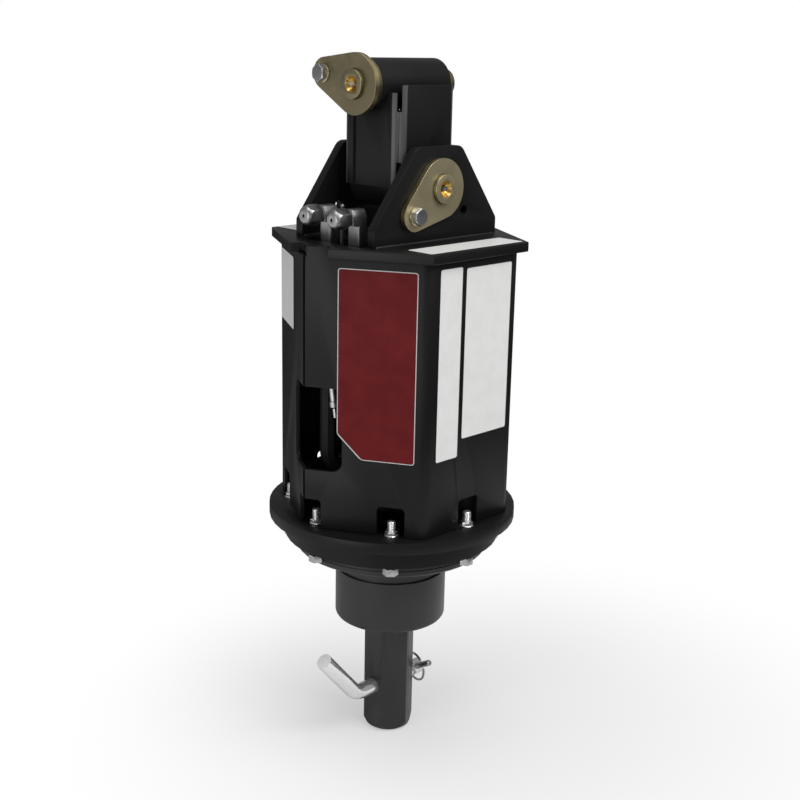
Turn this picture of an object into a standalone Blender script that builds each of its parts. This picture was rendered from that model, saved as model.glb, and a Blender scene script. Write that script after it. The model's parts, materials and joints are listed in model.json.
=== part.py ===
"""Earth auger drive: a planetary drive head that hangs from a two-axis link.

Metres, +Z up. The origin is the middle of the upper pin's axis. The upper pin lies along Y,
the lower pin along X, and the output shaft along Z.
"""

from math import acos, asin, atan2, cos, pi, radians, sin, sqrt, tan

import bmesh
import bpy
from mathutils import Matrix, Vector

MM = 0.001
GAP = 0.3 * MM  # between pieces that touch
OVERRUN = 4 * MM  # how far a cutter passes the face it cuts

# Pins, flags and their fasteners
PIN_RADIUS = 15 * MM
PIN_CHAMFER = 2 * MM
PIN_PROUD = 4.5 * MM
PIN_TAIL = 10 * MM
PIN_SHOULDER_RADIUS = 26.5 * MM
GREASE_RECESS_RADIUS = 8 * MM
GREASE_RECESS_DEPTH = 9 * MM
NIPPLE_RADIUS = 3.4 * MM
NIPPLE_NECK_RADIUS = 2.1 * MM
NIPPLE_HEIGHT = 8 * MM
NIPPLE_COLLAR_SHARE = 0.3
NIPPLE_WAIST_SHARE = 0.75
NIPPLE_BALL_SHARE = 0.85
FLAG_THICKNESS = 6 * MM
FLAG_BIG_RADIUS = 31 * MM
FLAG_SMALL_RADIUS = 16 * MM
FLAG_REACH = 46.8 * MM
FLAG_EDGE = 0.7 * MM
UPPER_FLAG_ANGLE = radians(168.5)
LOWER_FLAG_ANGLE = radians(212.6)
FLAG_BOLT_RADIUS = 5 * MM
FLAG_BOLT_FLATS = 16 * MM
FLAG_BOLT_HEAD = 6.6 * MM
FLAG_BOLT_REACH = 10 * MM
WASHER_RADIUS = 9.6 * MM
WASHER_THICKNESS = 1.8 * MM

# Link between the two pins
LINK_LENGTH = 102.5 * MM
PIVOT_RADIUS = 26 * MM
PIVOT_EDGE = 1 * MM
UPPER_PIVOT_HALF = 50.5 * MM
FLAG_STANDOFF = 8.9 * MM
BUSH_WALL = 3.2 * MM
BUSH_LENGTH = 30 * MM
WEB_DEPTH = 43.5 * MM
WEB_HALF_WIDTH = 39.5 * MM
WEB_THICKNESS = 6 * MM
WEB_BEND = 9 * MM
WEB_SETBACK = 7.5 * MM
WEB_SLOT = 5 * MM

# Ears
EAR_THICKNESS = 10 * MM
EAR_SIDE_PLAY = 0.8 * MM
EAR_LINK_GAP = 5.7 * MM
EAR_HALF_WIDTH = 91 * MM
EAR_TOP_HALF = 33 * MM
EAR_ABOVE_PIN = 42.5 * MM
EAR_BELOW_PIN = 54.2 * MM
EAR_SHOULDER = 18 * MM
EAR_CORNER = 13 * MM
EAR_EDGE = 0.6 * MM

# Housing shell and its plates
SHELL_HALF_FLAT = 114.7 * MM
SHELL_HEIGHT = 289.4 * MM
SHELL_WALL = 5 * MM
SHELL_BEND = 15 * MM
SEAM_GAP = 3 * MM
PLATE_THICKNESS = 10.2 * MM
PLATE_OVERHANG = 8.8 * MM
PLATE_EDGE = 0.8 * MM
NOTCH_HALF = 28 * MM
NOTCH_RELIEF = 1.8 * MM
NOTCH_END = 3 * MM
WINDOW_HALF = 42 * MM
WINDOW_BOTTOM = 64.7 * MM
WINDOW_TOP = 154.3 * MM
WINDOW_CORNER = 11 * MM
SLOT_WIDTH = 30 * MM
SLOT_HEIGHT = 32 * MM
SLOT_CORNER = 4 * MM
CORNER_SLOT_HALF = 19.2 * MM
BASE_THICKNESS = 13 * MM
BASE_MARGIN = 5.6 * MM
BASE_EDGE = 2 * MM

# Flange bolts
BOLT_COUNT = 8
BOLT_INSET = 1 * MM
BOLT_RADIUS = 4.2 * MM
BOLT_FLATS = 14.6 * MM
BOLT_HEAD = 8.2 * MM
NUT_FLATS = 13 * MM
NUT_HEIGHT = 7 * MM
BOLT_STUB = 9.5 * MM

# Gearbox
FLANGE_MARGIN = 6.7 * MM
FLANGE_THICKNESS = 22 * MM
RING_BODY_CLEARANCE = 1.1 * MM
RING_BODY_DEPTH = 8.8 * MM
RING_WALL = 13.75 * MM
TOOTH_RECESS = 1.5 * MM
RING_TEETH = 54
SUN_TEETH = 18
PLANET_COUNT = 3
PRESSURE_ANGLE = radians(20)
BACKLASH = 0.36 * MM
ADDENDUM_SHARE = 0.92
DEDENDUM_SHARE = 1.25
RING_ADDENDUM_SHARE = 0.75
FLANK_SHARES = (0.0, 0.5, 1.0)
GEAR_TOP_SPACE = 4 * MM
PLANET_WIDTH = 20 * MM
GEAR_SIDE_PLAY = 0.8 * MM
PLANET_POST_RADIUS = 9 * MM
CARRIER_THICKNESS = 6 * MM
CARRIER_RIM_PLAY = 2 * MM
HUB_FLANGE_THICKNESS = 6.7 * MM
HUB_FLANGE_STEP = 3.2 * MM
HUB_RADIUS = 63 * MM
HUB_NECK_STEP = 2.5 * MM
HUB_NECK_HEIGHT = 27.5 * MM
HUB_LENGTH = 87.3 * MM
HUB_EDGE = 6 * MM
HUB_WALL = 13 * MM
BEARING_WIDTH = 20 * MM
BEARING_INSET = 6 * MM
BEARING_GROOVE = 2.5 * MM
BEARING_SPACING = 22 * MM
SEAL_HEIGHT = 8 * MM
SEAL_LIP = 2 * MM
JOURNAL_RADIUS = 27 * MM
JOURNAL_STEP = 6 * MM

# Output shaft and hitch pin
HEX_FLATS = 50.8 * MM
HEX_CORNER_SHARE = 0.995
SHAFT_LENGTH = 141 * MM
SHAFT_CHAMFER = 9 * MM
SHAFT_CHAMFER_IN = 6.5 * MM
HITCH_HOLE_HEIGHT = 54.7 * MM
HITCH_RADIUS = 9 * MM
HITCH_TAIL = 24.6 * MM
HITCH_BEND = 22 * MM
HITCH_STEM = 17 * MM
HITCH_HANDLE = 65.5 * MM
HITCH_HANDLE_RISE = radians(49)
LINCH_RADIUS = 3.6 * MM
LINCH_ANGLE = radians(30)
LINCH_TAIL = 20 * MM
LINCH_HEAD = 31 * MM
LINCH_SETBACK = 8 * MM
LINCH_RING_RADIUS = 17 * MM
LINCH_WIRE = 1.4 * MM

# Hydraulic motor, hoses and ports
MOTOR_FLANGE_RADIUS = 45 * MM
MOTOR_LUG_RADIUS = 13 * MM
MOTOR_BOLT_REACH = 53.2 * MM
MOTOR_FLANGE_THICKNESS = 15 * MM
MOTOR_BODY_RADIUS = 41 * MM
MOTOR_NECK_RADIUS = 34 * MM
MOTOR_BODY_HEIGHT = 92 * MM
MOTOR_ROTOR_HEIGHT = 26 * MM
MOTOR_COVER_HEIGHT = 20 * MM
MOTOR_COVER_RADIUS = 43 * MM
MOTOR_EDGE = 2 * MM
MOTOR_SHAFT_RADIUS = 12.5 * MM
MOTOR_SHAFT_RISE = 50 * MM
MOTOR_PILOT_RADIUS = 38 * MM
MOTOR_PILOT_HEIGHT = 6 * MM
MOTOR_BOLT_RADIUS = 5 * MM
MOTOR_BOLT_FLATS = 16 * MM
MOTOR_BOLT_HEAD = 6.5 * MM
PORT_SPACING = 21.2 * MM
PORT_HEIGHT = 46 * MM
PORT_BOSS_RADIUS = 15 * MM
PORT_INSET = 54.1 * MM
PORT_OPENING_HALF = 44 * MM
PORT_OPENING_FRONT = 18.7 * MM
PORT_OPENING_REAR = 18 * MM
BRACKET_HALF_WIDTH = 15 * MM
BRACKET_END_LAP = 5 * MM
BRACKET_THICKNESS = 6 * MM
BRACKET_LAP = 1 * MM
HOSE_RADIUS = 9 * MM
HOSE_BEND_SHARE = 0.54
HOSE_STRAIGHT = 3 * MM
ELBOW_HALF = 8.3 * MM
ELBOW_LEG_HALF = 5.45 * MM
ELBOW_EDGE = 0.8 * MM
ELBOW_CHAMFER_IN = 3.4 * MM
ELBOW_CHAMFER_DOWN = 6.2 * MM
ELBOW_RISE = 35.4 * MM
ELBOW_REACH = 8.2 * MM
ELBOW_STEM_RADIUS = 4.4 * MM
ELBOW_STEM_DEPTH = 33 * MM
BULKHEAD_FLATS = 22 * MM
BULKHEAD_HEIGHT = 8 * MM
CAP_FLATS = 19 * MM
CAP_LENGTH = 17.5 * MM
CAP_DOME_LENGTH = 8.5 * MM
CAP_NOSE_RADIUS = 4.6 * MM
CAP_COLLAR = 2.2 * MM
CAP_COLLAR_STEP = 0.8 * MM
CAP_SOCKET_RADIUS = 2.2 * MM
CAP_SOCKET_DEPTH = 5 * MM

ROUND_STEPS = 32
LARGE_STEPS = 48
SMALL_STEPS = 16
HITCH_BEND_STEPS = 9
SIDES = 6
HEX_COS = cos(pi / SIDES)
SHELL_SIDE = 2 * pi / SIDES
QUARTER = pi / 2

# Heights and radii that follow
LOWER_PIN_Z = -LINK_LENGTH
PLATE_TOP = LOWER_PIN_Z - EAR_BELOW_PIN
PLATE_BOTTOM = PLATE_TOP - PLATE_THICKNESS
SHELL_TOP = PLATE_BOTTOM - GAP
BASE_TOP = SHELL_TOP - SHELL_HEIGHT
BASE_BOTTOM = BASE_TOP - BASE_THICKNESS
FLANGE_TOP = BASE_BOTTOM - GAP
FLANGE_BOTTOM = FLANGE_TOP - FLANGE_THICKNESS
RING_BOTTOM = FLANGE_BOTTOM - RING_BODY_DEPTH
HUB_TOP = RING_BOTTOM - GAP
HUB_FLANGE_BOTTOM = HUB_TOP - HUB_FLANGE_THICKNESS
HUB_NECK_BOTTOM = HUB_FLANGE_BOTTOM - HUB_NECK_HEIGHT
HUB_BOTTOM = HUB_FLANGE_BOTTOM - HUB_LENGTH
SHAFT_END = HUB_BOTTOM - SHAFT_LENGTH
HITCH_Z = SHAFT_END + HITCH_HOLE_HEIGHT

SHELL_CORNER = SHELL_HALF_FLAT / HEX_COS
BASE_RADIUS = SHELL_CORNER + BASE_MARGIN
PLATE_HALF_FLAT = SHELL_HALF_FLAT + PLATE_OVERHANG
NOTCH_HALF_FLAT = SHELL_HALF_FLAT - SHELL_WALL - GAP
BOLT_CIRCLE = SHELL_HALF_FLAT - BOLT_INSET
BOLT_HEAD_CORNER = BOLT_FLATS / 2 / HEX_COS
FLANGE_RADIUS = BOLT_CIRCLE + FLANGE_MARGIN
RING_BODY_RADIUS = BOLT_CIRCLE - BOLT_HEAD_CORNER - RING_BODY_CLEARANCE
MODULE = (RING_BODY_RADIUS - RING_WALL) / (RING_TEETH / 2 + DEDENDUM_SHARE)
PLANET_TEETH = (RING_TEETH - SUN_TEETH) // 2
PLANET_CIRCLE = MODULE * (SUN_TEETH + PLANET_TEETH) / 2
PLANET_TOP = BASE_BOTTOM - GEAR_TOP_SPACE
PLANET_BOTTOM = PLANET_TOP - PLANET_WIDTH
CARRIER_TOP = PLANET_BOTTOM - GEAR_SIDE_PLAY
CARRIER_RADIUS = MODULE * (RING_TEETH / 2 - RING_ADDENDUM_SHARE) - CARRIER_RIM_PLAY
BEARING_RADIUS = HUB_RADIUS - HUB_WALL

LINK_INNER = WEB_DEPTH + EAR_LINK_GAP
EAR_OUTER = LINK_INNER + EAR_THICKNESS
LOWER_PIVOT_HALF = LINK_INNER - EAR_SIDE_PLAY
BUSH_RADIUS = PIN_RADIUS + GAP + BUSH_WALL
UPPER_FLAG_BACK = UPPER_PIVOT_HALF + FLAG_STANDOFF
LOWER_FLAG_BACK = EAR_OUTER + GAP

ELBOW_SETBACK = SHELL_CORNER - PORT_INSET
HOSE_BEND = HOSE_BEND_SHARE * (ELBOW_SETBACK - MOTOR_NECK_RADIUS)
PORT_REACH = ELBOW_SETBACK - HOSE_BEND - HOSE_STRAIGHT
BRACKET_TOP = PLATE_BOTTOM + BRACKET_LAP
BRACKET_BOTTOM = BRACKET_TOP - BRACKET_THICKNESS
STEM_END = PLATE_TOP - ELBOW_STEM_DEPTH


def clear_scene():
    for thing in list(bpy.data.objects):
        bpy.data.objects.remove(thing, do_unlink=True)


def new_collection(name, hidden=False):
    collection = bpy.data.collections.new(name)
    bpy.context.scene.collection.children.link(collection)
    collection.hide_render = hidden
    return collection


def new_material(name, colour, roughness, metallic):
    material = bpy.data.materials.new(name)
    material.use_nodes = True
    shader = material.node_tree.nodes["Principled BSDF"]
    shader.inputs["Base Color"].default_value = (*colour, 1)
    shader.inputs["Roughness"].default_value = roughness
    shader.inputs["Metallic"].default_value = metallic
    return material


FINISHES = {
    "black_paint": ((0.035, 0.035, 0.036), 0.42, 0.0),
    "yellow_zinc": ((0.36, 0.31, 0.2), 0.38, 0.8),
    "bright_zinc": ((0.62, 0.62, 0.63), 0.28, 1.0),
    "dark_steel": ((0.16, 0.16, 0.165), 0.4, 0.9),
    "gear_steel": ((0.4, 0.4, 0.41), 0.33, 1.0),
    "bronze": ((0.46, 0.31, 0.13), 0.35, 0.9),
    "black_rubber": ((0.015, 0.015, 0.015), 0.7, 0.0),
    "motor_paint": ((0.03, 0.03, 0.032), 0.5, 0.0),
}


def finish(thing, slot, collection, angle=radians(32)):
    """Gives an object its material and collection, and smooth shading with sharp edges kept."""
    thing.data.materials.clear()
    material = bpy.data.materials.get(slot) or new_material(slot, *FINISHES[slot])
    thing.data.materials.append(material)
    if thing.name not in collection.objects:
        collection.objects.link(thing)
    thing.data.shade_smooth()
    thing.data.set_sharp_from_angle(angle=angle)
    return thing


def place(thing, location=(0, 0, 0), rotation=(0, 0, 0), parent=None):
    thing.location = location
    thing.rotation_euler = rotation
    thing.parent = parent
    return thing


def arc(centre, radius, start, end, steps):
    """Points of an arc, both ends included."""
    turns = [start + (end - start) * step / steps for step in range(steps + 1)]
    return [(centre[0] + radius * cos(t), centre[1] + radius * sin(t)) for t in turns]


def circle(centre, radius, steps):
    return arc(centre, radius, 0, 2 * pi, steps)[:-1]


def rounded(corners, radii, steps=4):
    """A closed outline through the corners, each rounded by its own radius (0 keeps it sharp)."""
    points = []
    count = len(corners)
    for index, radius in enumerate(radii):
        here = Vector(corners[index])
        before = (Vector(corners[index - 1]) - here).normalized()
        after = (Vector(corners[(index + 1) % count]) - here).normalized()
        if radius <= 0:
            points.append(tuple(here))
            continue
        half = before.angle(after) / 2
        middle = here + (before + after).normalized() * (radius / sin(half))
        first = here + before * (radius / tan(half)) - middle
        last = here + after * (radius / tan(half)) - middle
        start = atan2(first.y, first.x)
        sweep = (atan2(last.y, last.x) - start + pi) % (2 * pi) - pi
        points += arc(middle, radius, start, start + sweep, steps)
    return points


def outline_mesh(name, outlines, thickness):
    """A flat plate centred on its own XY plane: the first outline is the edge, the rest are holes."""
    curve = bpy.data.curves.new(name + "_outline", "CURVE")
    curve.dimensions = "2D"
    curve.fill_mode = "BOTH"
    curve.extrude = thickness / 2
    for points in outlines:
        spline = curve.splines.new("POLY")
        spline.points.add(len(points) - 1)
        for point, (x, y) in zip(spline.points, points):
            point.co = (x, y, 0, 1)
        spline.use_cyclic_u = True
    guide = bpy.data.objects.new(name + "_guide", curve)
    bpy.context.scene.collection.objects.link(guide)
    graph = bpy.context.evaluated_depsgraph_get()
    mesh = bpy.data.meshes.new_from_object(guide.evaluated_get(graph))
    mesh.name = name
    bpy.data.objects.remove(guide, do_unlink=True)
    bpy.data.curves.remove(curve)
    shape = bmesh.new()
    shape.from_mesh(mesh)
    bmesh.ops.remove_doubles(shape, verts=shape.verts, dist=MM / 100)
    bmesh.ops.recalc_face_normals(shape, faces=shape.faces)
    shape.to_mesh(mesh)
    shape.free()
    return mesh


def plate(name, outlines, thickness, slot, collection, edge=0.0):
    thing = bpy.data.objects.new(name, outline_mesh(name, outlines, thickness))
    finish(thing, slot, collection)
    if edge:
        soften(thing, edge)
    return thing


def soften(thing, width, segments=1, angle=radians(40)):
    bevel = thing.modifiers.new("Edge", "BEVEL")
    bevel.width = width
    bevel.segments = segments
    bevel.limit_method = "ANGLE"
    bevel.angle_limit = angle
    bevel.use_clamp_overlap = True
    return bevel


def turned(name, profile, slot, collection, steps=ROUND_STEPS, ring=False):
    """A turned shape about its own Z axis. The profile runs down the outer side; a ring's closes."""
    mesh = bpy.data.meshes.new(name)
    shape = bmesh.new()
    points = [shape.verts.new((radius, 0, height)) for radius, height in profile]
    for first, second in zip(points, points[1:]):
        shape.edges.new((first, second))
    if ring:
        shape.edges.new((points[-1], points[0]))
    shape.to_mesh(mesh)
    shape.free()
    thing = bpy.data.objects.new(name, mesh)
    screw = thing.modifiers.new("Turn", "SCREW")
    screw.axis = "Z"
    screw.steps = steps
    screw.render_steps = steps
    screw.use_merge_vertices = True
    screw.merge_threshold = MM / 100
    screw.use_smooth_shade = True
    finish(thing, slot, collection)
    return thing


def prism(name, sides, flats, low, high, slot, collection):
    """A regular prism about Z with this distance across its flats, a flat facing -Y."""
    mesh = bpy.data.meshes.new(name)
    shape = bmesh.new()
    radius = flats / 2 / cos(pi / sides)
    bmesh.ops.create_cone(
        shape,
        cap_ends=True,
        segments=sides,
        radius1=radius,
        radius2=radius,
        depth=high - low,
        matrix=Matrix.Translation((0, 0, (low + high) / 2)),
    )
    shape.to_mesh(mesh)
    shape.free()
    thing = bpy.data.objects.new(name, mesh)
    finish(thing, slot, collection)
    return thing


def box(name, low, high, slot, collection):
    mesh = bpy.data.meshes.new(name)
    shape = bmesh.new()
    low, high = Vector(low), Vector(high)
    size = high - low
    matrix = Matrix.Translation((low + high) / 2) @ Matrix.Diagonal((*size, 1))
    bmesh.ops.create_cube(shape, size=1, matrix=matrix)
    shape.to_mesh(mesh)
    shape.free()
    thing = bpy.data.objects.new(name, mesh)
    finish(thing, slot, collection)
    return thing


def boolean(thing, tool, operation):
    modifier = thing.modifiers.new(tool.name, "BOOLEAN")
    modifier.operation = operation
    modifier.solver = "EXACT"
    modifier.object = tool
    tool.hide_render = True
    tool.display_type = "WIRE"
    return modifier


def cut(thing, tool):
    return boolean(thing, tool, "DIFFERENCE")


def join(thing, tool):
    return boolean(thing, tool, "UNION")


def settled(thing):
    """The object's evaluated mesh made its own, so that copies can share it."""
    bpy.context.view_layer.update()
    graph = bpy.context.evaluated_depsgraph_get()
    mesh = bpy.data.meshes.new_from_object(thing.evaluated_get(graph))
    mesh.name = thing.name
    thing.modifiers.clear()
    thing.data = mesh
    return thing


def copy_of(source, name, collection):
    thing = bpy.data.objects.new(name, source.data)
    collection.objects.link(thing)
    return thing


def face_point(azimuth, along, out):
    """A point of the housing's plan: out from the axis along a face's normal, then along it."""
    return (
        out * cos(azimuth) - along * sin(azimuth),
        out * sin(azimuth) + along * cos(azimuth),
    )


FRONT_FACE = -SHELL_SIDE
LEFT_FACE = -2 * SHELL_SIDE
SHELL_HALF_SIDE = SHELL_HALF_FLAT * tan(SHELL_SIDE / 2)

ALONG_Y = (QUARTER, 0, 0)
ALONG_X = (QUARTER, 0, QUARTER)


def flag_outline(angle):
    """Hull of the flag's two circles, the small one at this angle from the pin."""
    spread = acos((FLAG_BIG_RADIUS - FLAG_SMALL_RADIUS) / FLAG_REACH)
    small = (FLAG_REACH * cos(angle), FLAG_REACH * sin(angle))
    big_arc = arc((0, 0), FLAG_BIG_RADIUS, angle + spread, angle + 2 * pi - spread, 26)
    small_arc = arc(small, FLAG_SMALL_RADIUS, angle - spread, angle + spread, 14)
    return big_arc + small_arc


def pin_set(prefix, back, tail_end, foot, angle, location, rotation, parent, parts, tools):
    """A pin along its own Z with its flag, flag bolt, washer and grease nipple.

    The flag's back lies at this height, and the pin's tail ends at -tail_end. Between the foot
    and the flag the pin has a shoulder, unless the foot is at the flag's back.
    """
    face = back + FLAG_THICKNESS
    top = face + PIN_PROUD
    floor = top - GREASE_RECESS_DEPTH
    shoulder = ()
    if foot < back:
        shoulder = (
            (PIN_RADIUS, back - GAP),
            (PIN_SHOULDER_RADIUS, back - GAP),
            (PIN_SHOULDER_RADIUS, foot),
            (PIN_RADIUS, foot),
        )
    profile = (
        (0, floor),
        (GREASE_RECESS_RADIUS, floor),
        (GREASE_RECESS_RADIUS, top),
        (PIN_RADIUS, top),
        *shoulder,
        (PIN_RADIUS, PIN_CHAMFER - tail_end),
        (PIN_RADIUS - PIN_CHAMFER, -tail_end),
        (0, -tail_end),
    )
    pin = turned(prefix + "_pin", profile, "yellow_zinc", parts)
    place(pin, location, rotation, parent)

    bolt_at = (FLAG_REACH * cos(angle), FLAG_REACH * sin(angle))
    holes = [
        circle((0, 0), PIN_RADIUS + GAP, ROUND_STEPS),
        circle(bolt_at, FLAG_BOLT_RADIUS + GAP, SMALL_STEPS),
    ]
    outlines = [flag_outline(angle), *holes]
    flag = plate(prefix + "_pin_flag", outlines, FLAG_THICKNESS, "yellow_zinc", parts, FLAG_EDGE)
    offset = Matrix.Translation((0, 0, back + FLAG_THICKNESS / 2))
    flag.data.transform(offset)
    place(flag, location, rotation, parent)

    washer_top = face + GAP + WASHER_THICKNESS
    washer_profile = (
        (WASHER_RADIUS, washer_top),
        (WASHER_RADIUS, face + GAP),
        (FLAG_BOLT_RADIUS + GAP, face + GAP),
        (FLAG_BOLT_RADIUS + GAP, washer_top),
    )
    washer = turned(
        prefix + "_flag_washer", washer_profile, "bright_zinc", parts, SMALL_STEPS, True
    )
    head_low = washer_top + GAP
    bolt = prism(
        prefix + "_flag_bolt", SIDES, FLAG_BOLT_FLATS, head_low, head_low + FLAG_BOLT_HEAD,
        "bright_zinc", parts,
    )
    shank_low = back - FLAG_BOLT_REACH
    shank_high = head_low + FLAG_BOLT_HEAD / 2
    shank_profile = (
        (0, shank_high),
        (FLAG_BOLT_RADIUS, shank_high),
        (FLAG_BOLT_RADIUS, shank_low),
        (0, shank_low),
    )
    shank = turned(prefix + "_flag_bolt_shank", shank_profile, "bright_zinc", tools, SMALL_STEPS)
    join(bolt, shank)
    settled(bolt)
    turn = Matrix.Translation((*bolt_at, 0))
    bolt.data.transform(turn)
    place(bolt, location, rotation, parent)
    settled(washer)
    washer.data.transform(turn)
    place(washer, location, rotation, parent)

    nipple_low = floor + GAP
    collar = nipple_low + NIPPLE_HEIGHT * NIPPLE_COLLAR_SHARE
    waist = nipple_low + NIPPLE_HEIGHT * NIPPLE_WAIST_SHARE
    nipple_profile = (
        (0, nipple_low + NIPPLE_HEIGHT),
        (NIPPLE_NECK_RADIUS, nipple_low + NIPPLE_HEIGHT),
        (NIPPLE_RADIUS * NIPPLE_BALL_SHARE, waist),
        (NIPPLE_NECK_RADIUS, collar),
        (NIPPLE_RADIUS, collar),
        (NIPPLE_RADIUS, nipple_low),
        (0, nipple_low),
    )
    nipple = turned(prefix + "_grease_nipple", nipple_profile, "bright_zinc", parts, SMALL_STEPS)
    place(nipple, location, rotation, parent)


def pivot_tube(name, half, rotation, location, parent, parts):
    bore = BUSH_RADIUS + GAP
    profile = (
        (PIVOT_RADIUS - PIVOT_EDGE, half),
        (PIVOT_RADIUS, half - PIVOT_EDGE),
        (PIVOT_RADIUS, PIVOT_EDGE - half),
        (PIVOT_RADIUS - PIVOT_EDGE, -half),
        (bore, -half),
        (bore, half),
    )
    tube = turned(name, profile, "black_paint", parts, ROUND_STEPS, True)
    return place(tube, location, rotation, parent)


def bush(name, low, rotation, location, parent, parts):
    profile = (
        (BUSH_RADIUS, low + BUSH_LENGTH),
        (BUSH_RADIUS, low),
        (PIN_RADIUS + GAP, low),
        (PIN_RADIUS + GAP, low + BUSH_LENGTH),
    )
    thing = turned(name, profile, "bronze", parts, ROUND_STEPS, True)
    return place(thing, location, rotation, parent)


def web_outline():
    """Plan of a bent web facing -Y: a channel whose lips are mitred at the link's corners."""
    centre = (WEB_HALF_WIDTH - WEB_BEND, WEB_BEND - WEB_DEPTH)
    shift = GAP / sqrt(2)
    level = -shift - centre[1]
    across = sqrt(2 * WEB_BEND**2 - (level - centre[0]) ** 2)
    mitre = (centre[0] + level + across) / 2
    end = atan2(-mitre - shift - centre[1], mitre - centre[0])
    inner = WEB_BEND - WEB_THICKNESS
    right = arc(centre, WEB_BEND, -QUARTER, end, 5)
    right.append((centre[0] + inner, -centre[0] - inner - shift))
    right += arc(centre, inner, 0, -QUARTER, 3)
    return right + [(-x, y) for x, y in reversed(right)]


def corner_slots(name, low, high, tools):
    """Four upright slots along the link's corners, from two crossed bars."""
    bars = []
    for index, turn in enumerate((QUARTER / 2, -QUARTER / 2)):
        bar = box(
            f"{name}_{index + 1}",
            (-2 * WEB_DEPTH, -WEB_SLOT / 2, low),
            (2 * WEB_DEPTH, WEB_SLOT / 2, high),
            "dark_steel",
            tools,
        )
        bar.rotation_euler = (0, 0, turn)
        bars.append(bar)
    return bars


def link(parent, parts, tools):
    """Two crossed pivot tubes, four bent webs and the bushes."""
    lower = (0, 0, LOWER_PIN_Z)
    pivot_tube("upper_pivot_tube", UPPER_PIVOT_HALF, ALONG_Y, (0, 0, 0), parent, parts)
    pivot_tube("lower_pivot_tube", LOWER_PIVOT_HALF, ALONG_X, lower, parent, parts)
    for side, name in ((1, "front"), (-1, "rear")):
        low = UPPER_PIVOT_HALF - BUSH_LENGTH if side > 0 else -UPPER_PIVOT_HALF
        bush(f"upper_bush_{name}", low, ALONG_Y, (0, 0, 0), parent, parts)
    for side, name in ((1, "right"), (-1, "left")):
        low = LOWER_PIVOT_HALF - BUSH_LENGTH if side > 0 else -LOWER_PIVOT_HALF
        bush(f"lower_bush_{name}", low, ALONG_X, lower, parent, parts)

    top_slots = corner_slots("link_top_slot", -PIVOT_RADIUS, WEB_DEPTH, tools)
    low_slots = corner_slots(
        "link_low_slot", LOWER_PIN_Z - WEB_DEPTH, LOWER_PIN_Z + PIVOT_RADIUS, tools
    )
    reach = WEB_DEPTH + OVERRUN
    copes = []
    for name, rotation, height in (("upper_cope", ALONG_Y, 0), ("lower_cope", ALONG_X, LOWER_PIN_Z)):
        profile = (
            (0, reach),
            (PIVOT_RADIUS + GAP, reach),
            (PIVOT_RADIUS + GAP, -reach),
            (0, -reach),
        )
        cope = turned(name, profile, "dark_steel", tools)
        copes.append(place(cope, (0, 0, height), rotation))

    height = LINK_LENGTH - WEB_SETBACK
    for name, turn, low, cope in (
        ("link_web_front", 0, LOWER_PIN_Z, copes[0]),
        ("link_web_rear", pi, LOWER_PIN_Z, copes[0]),
        ("link_web_right", QUARTER, LOWER_PIN_Z + WEB_SETBACK, copes[1]),
        ("link_web_left", -QUARTER, LOWER_PIN_Z + WEB_SETBACK, copes[1]),
    ):
        web = plate(name, [web_outline()], height, "black_paint", parts)
        place(web, (0, 0, low + height / 2), (0, 0, turn), parent)
        cut(web, cope)
        for bar in top_slots + low_slots:
            cut(web, bar)


def ear(name, side, parent, parts):
    """A trapezoid ear on the top plate, at +X or -X."""
    foot = -EAR_BELOW_PIN + GAP
    shoulder = -EAR_BELOW_PIN + EAR_SHOULDER
    corners = (
        (-EAR_HALF_WIDTH, foot),
        (EAR_HALF_WIDTH, foot),
        (EAR_HALF_WIDTH, shoulder),
        (EAR_TOP_HALF, EAR_ABOVE_PIN),
        (-EAR_TOP_HALF, EAR_ABOVE_PIN),
        (-EAR_HALF_WIDTH, shoulder),
    )
    small = EAR_CORNER / 2
    edge = rounded(corners, (0, 0, small, EAR_CORNER, EAR_CORNER, small))
    bolt_y = FLAG_REACH * cos(LOWER_FLAG_ANGLE)
    bolt_z = FLAG_REACH * sin(LOWER_FLAG_ANGLE)
    holes = [circle((0, 0), PIN_RADIUS + GAP, ROUND_STEPS)]
    for mirror in (1, -1):
        holes.append(circle((bolt_y * mirror, bolt_z), FLAG_BOLT_RADIUS + GAP, SMALL_STEPS))
    thing = plate(name, [edge, *holes], EAR_THICKNESS, "black_paint", parts, EAR_EDGE)
    middle = side * (LINK_INNER + EAR_THICKNESS / 2)
    return place(thing, (middle, 0, LOWER_PIN_Z), ALONG_X, parent)


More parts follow.
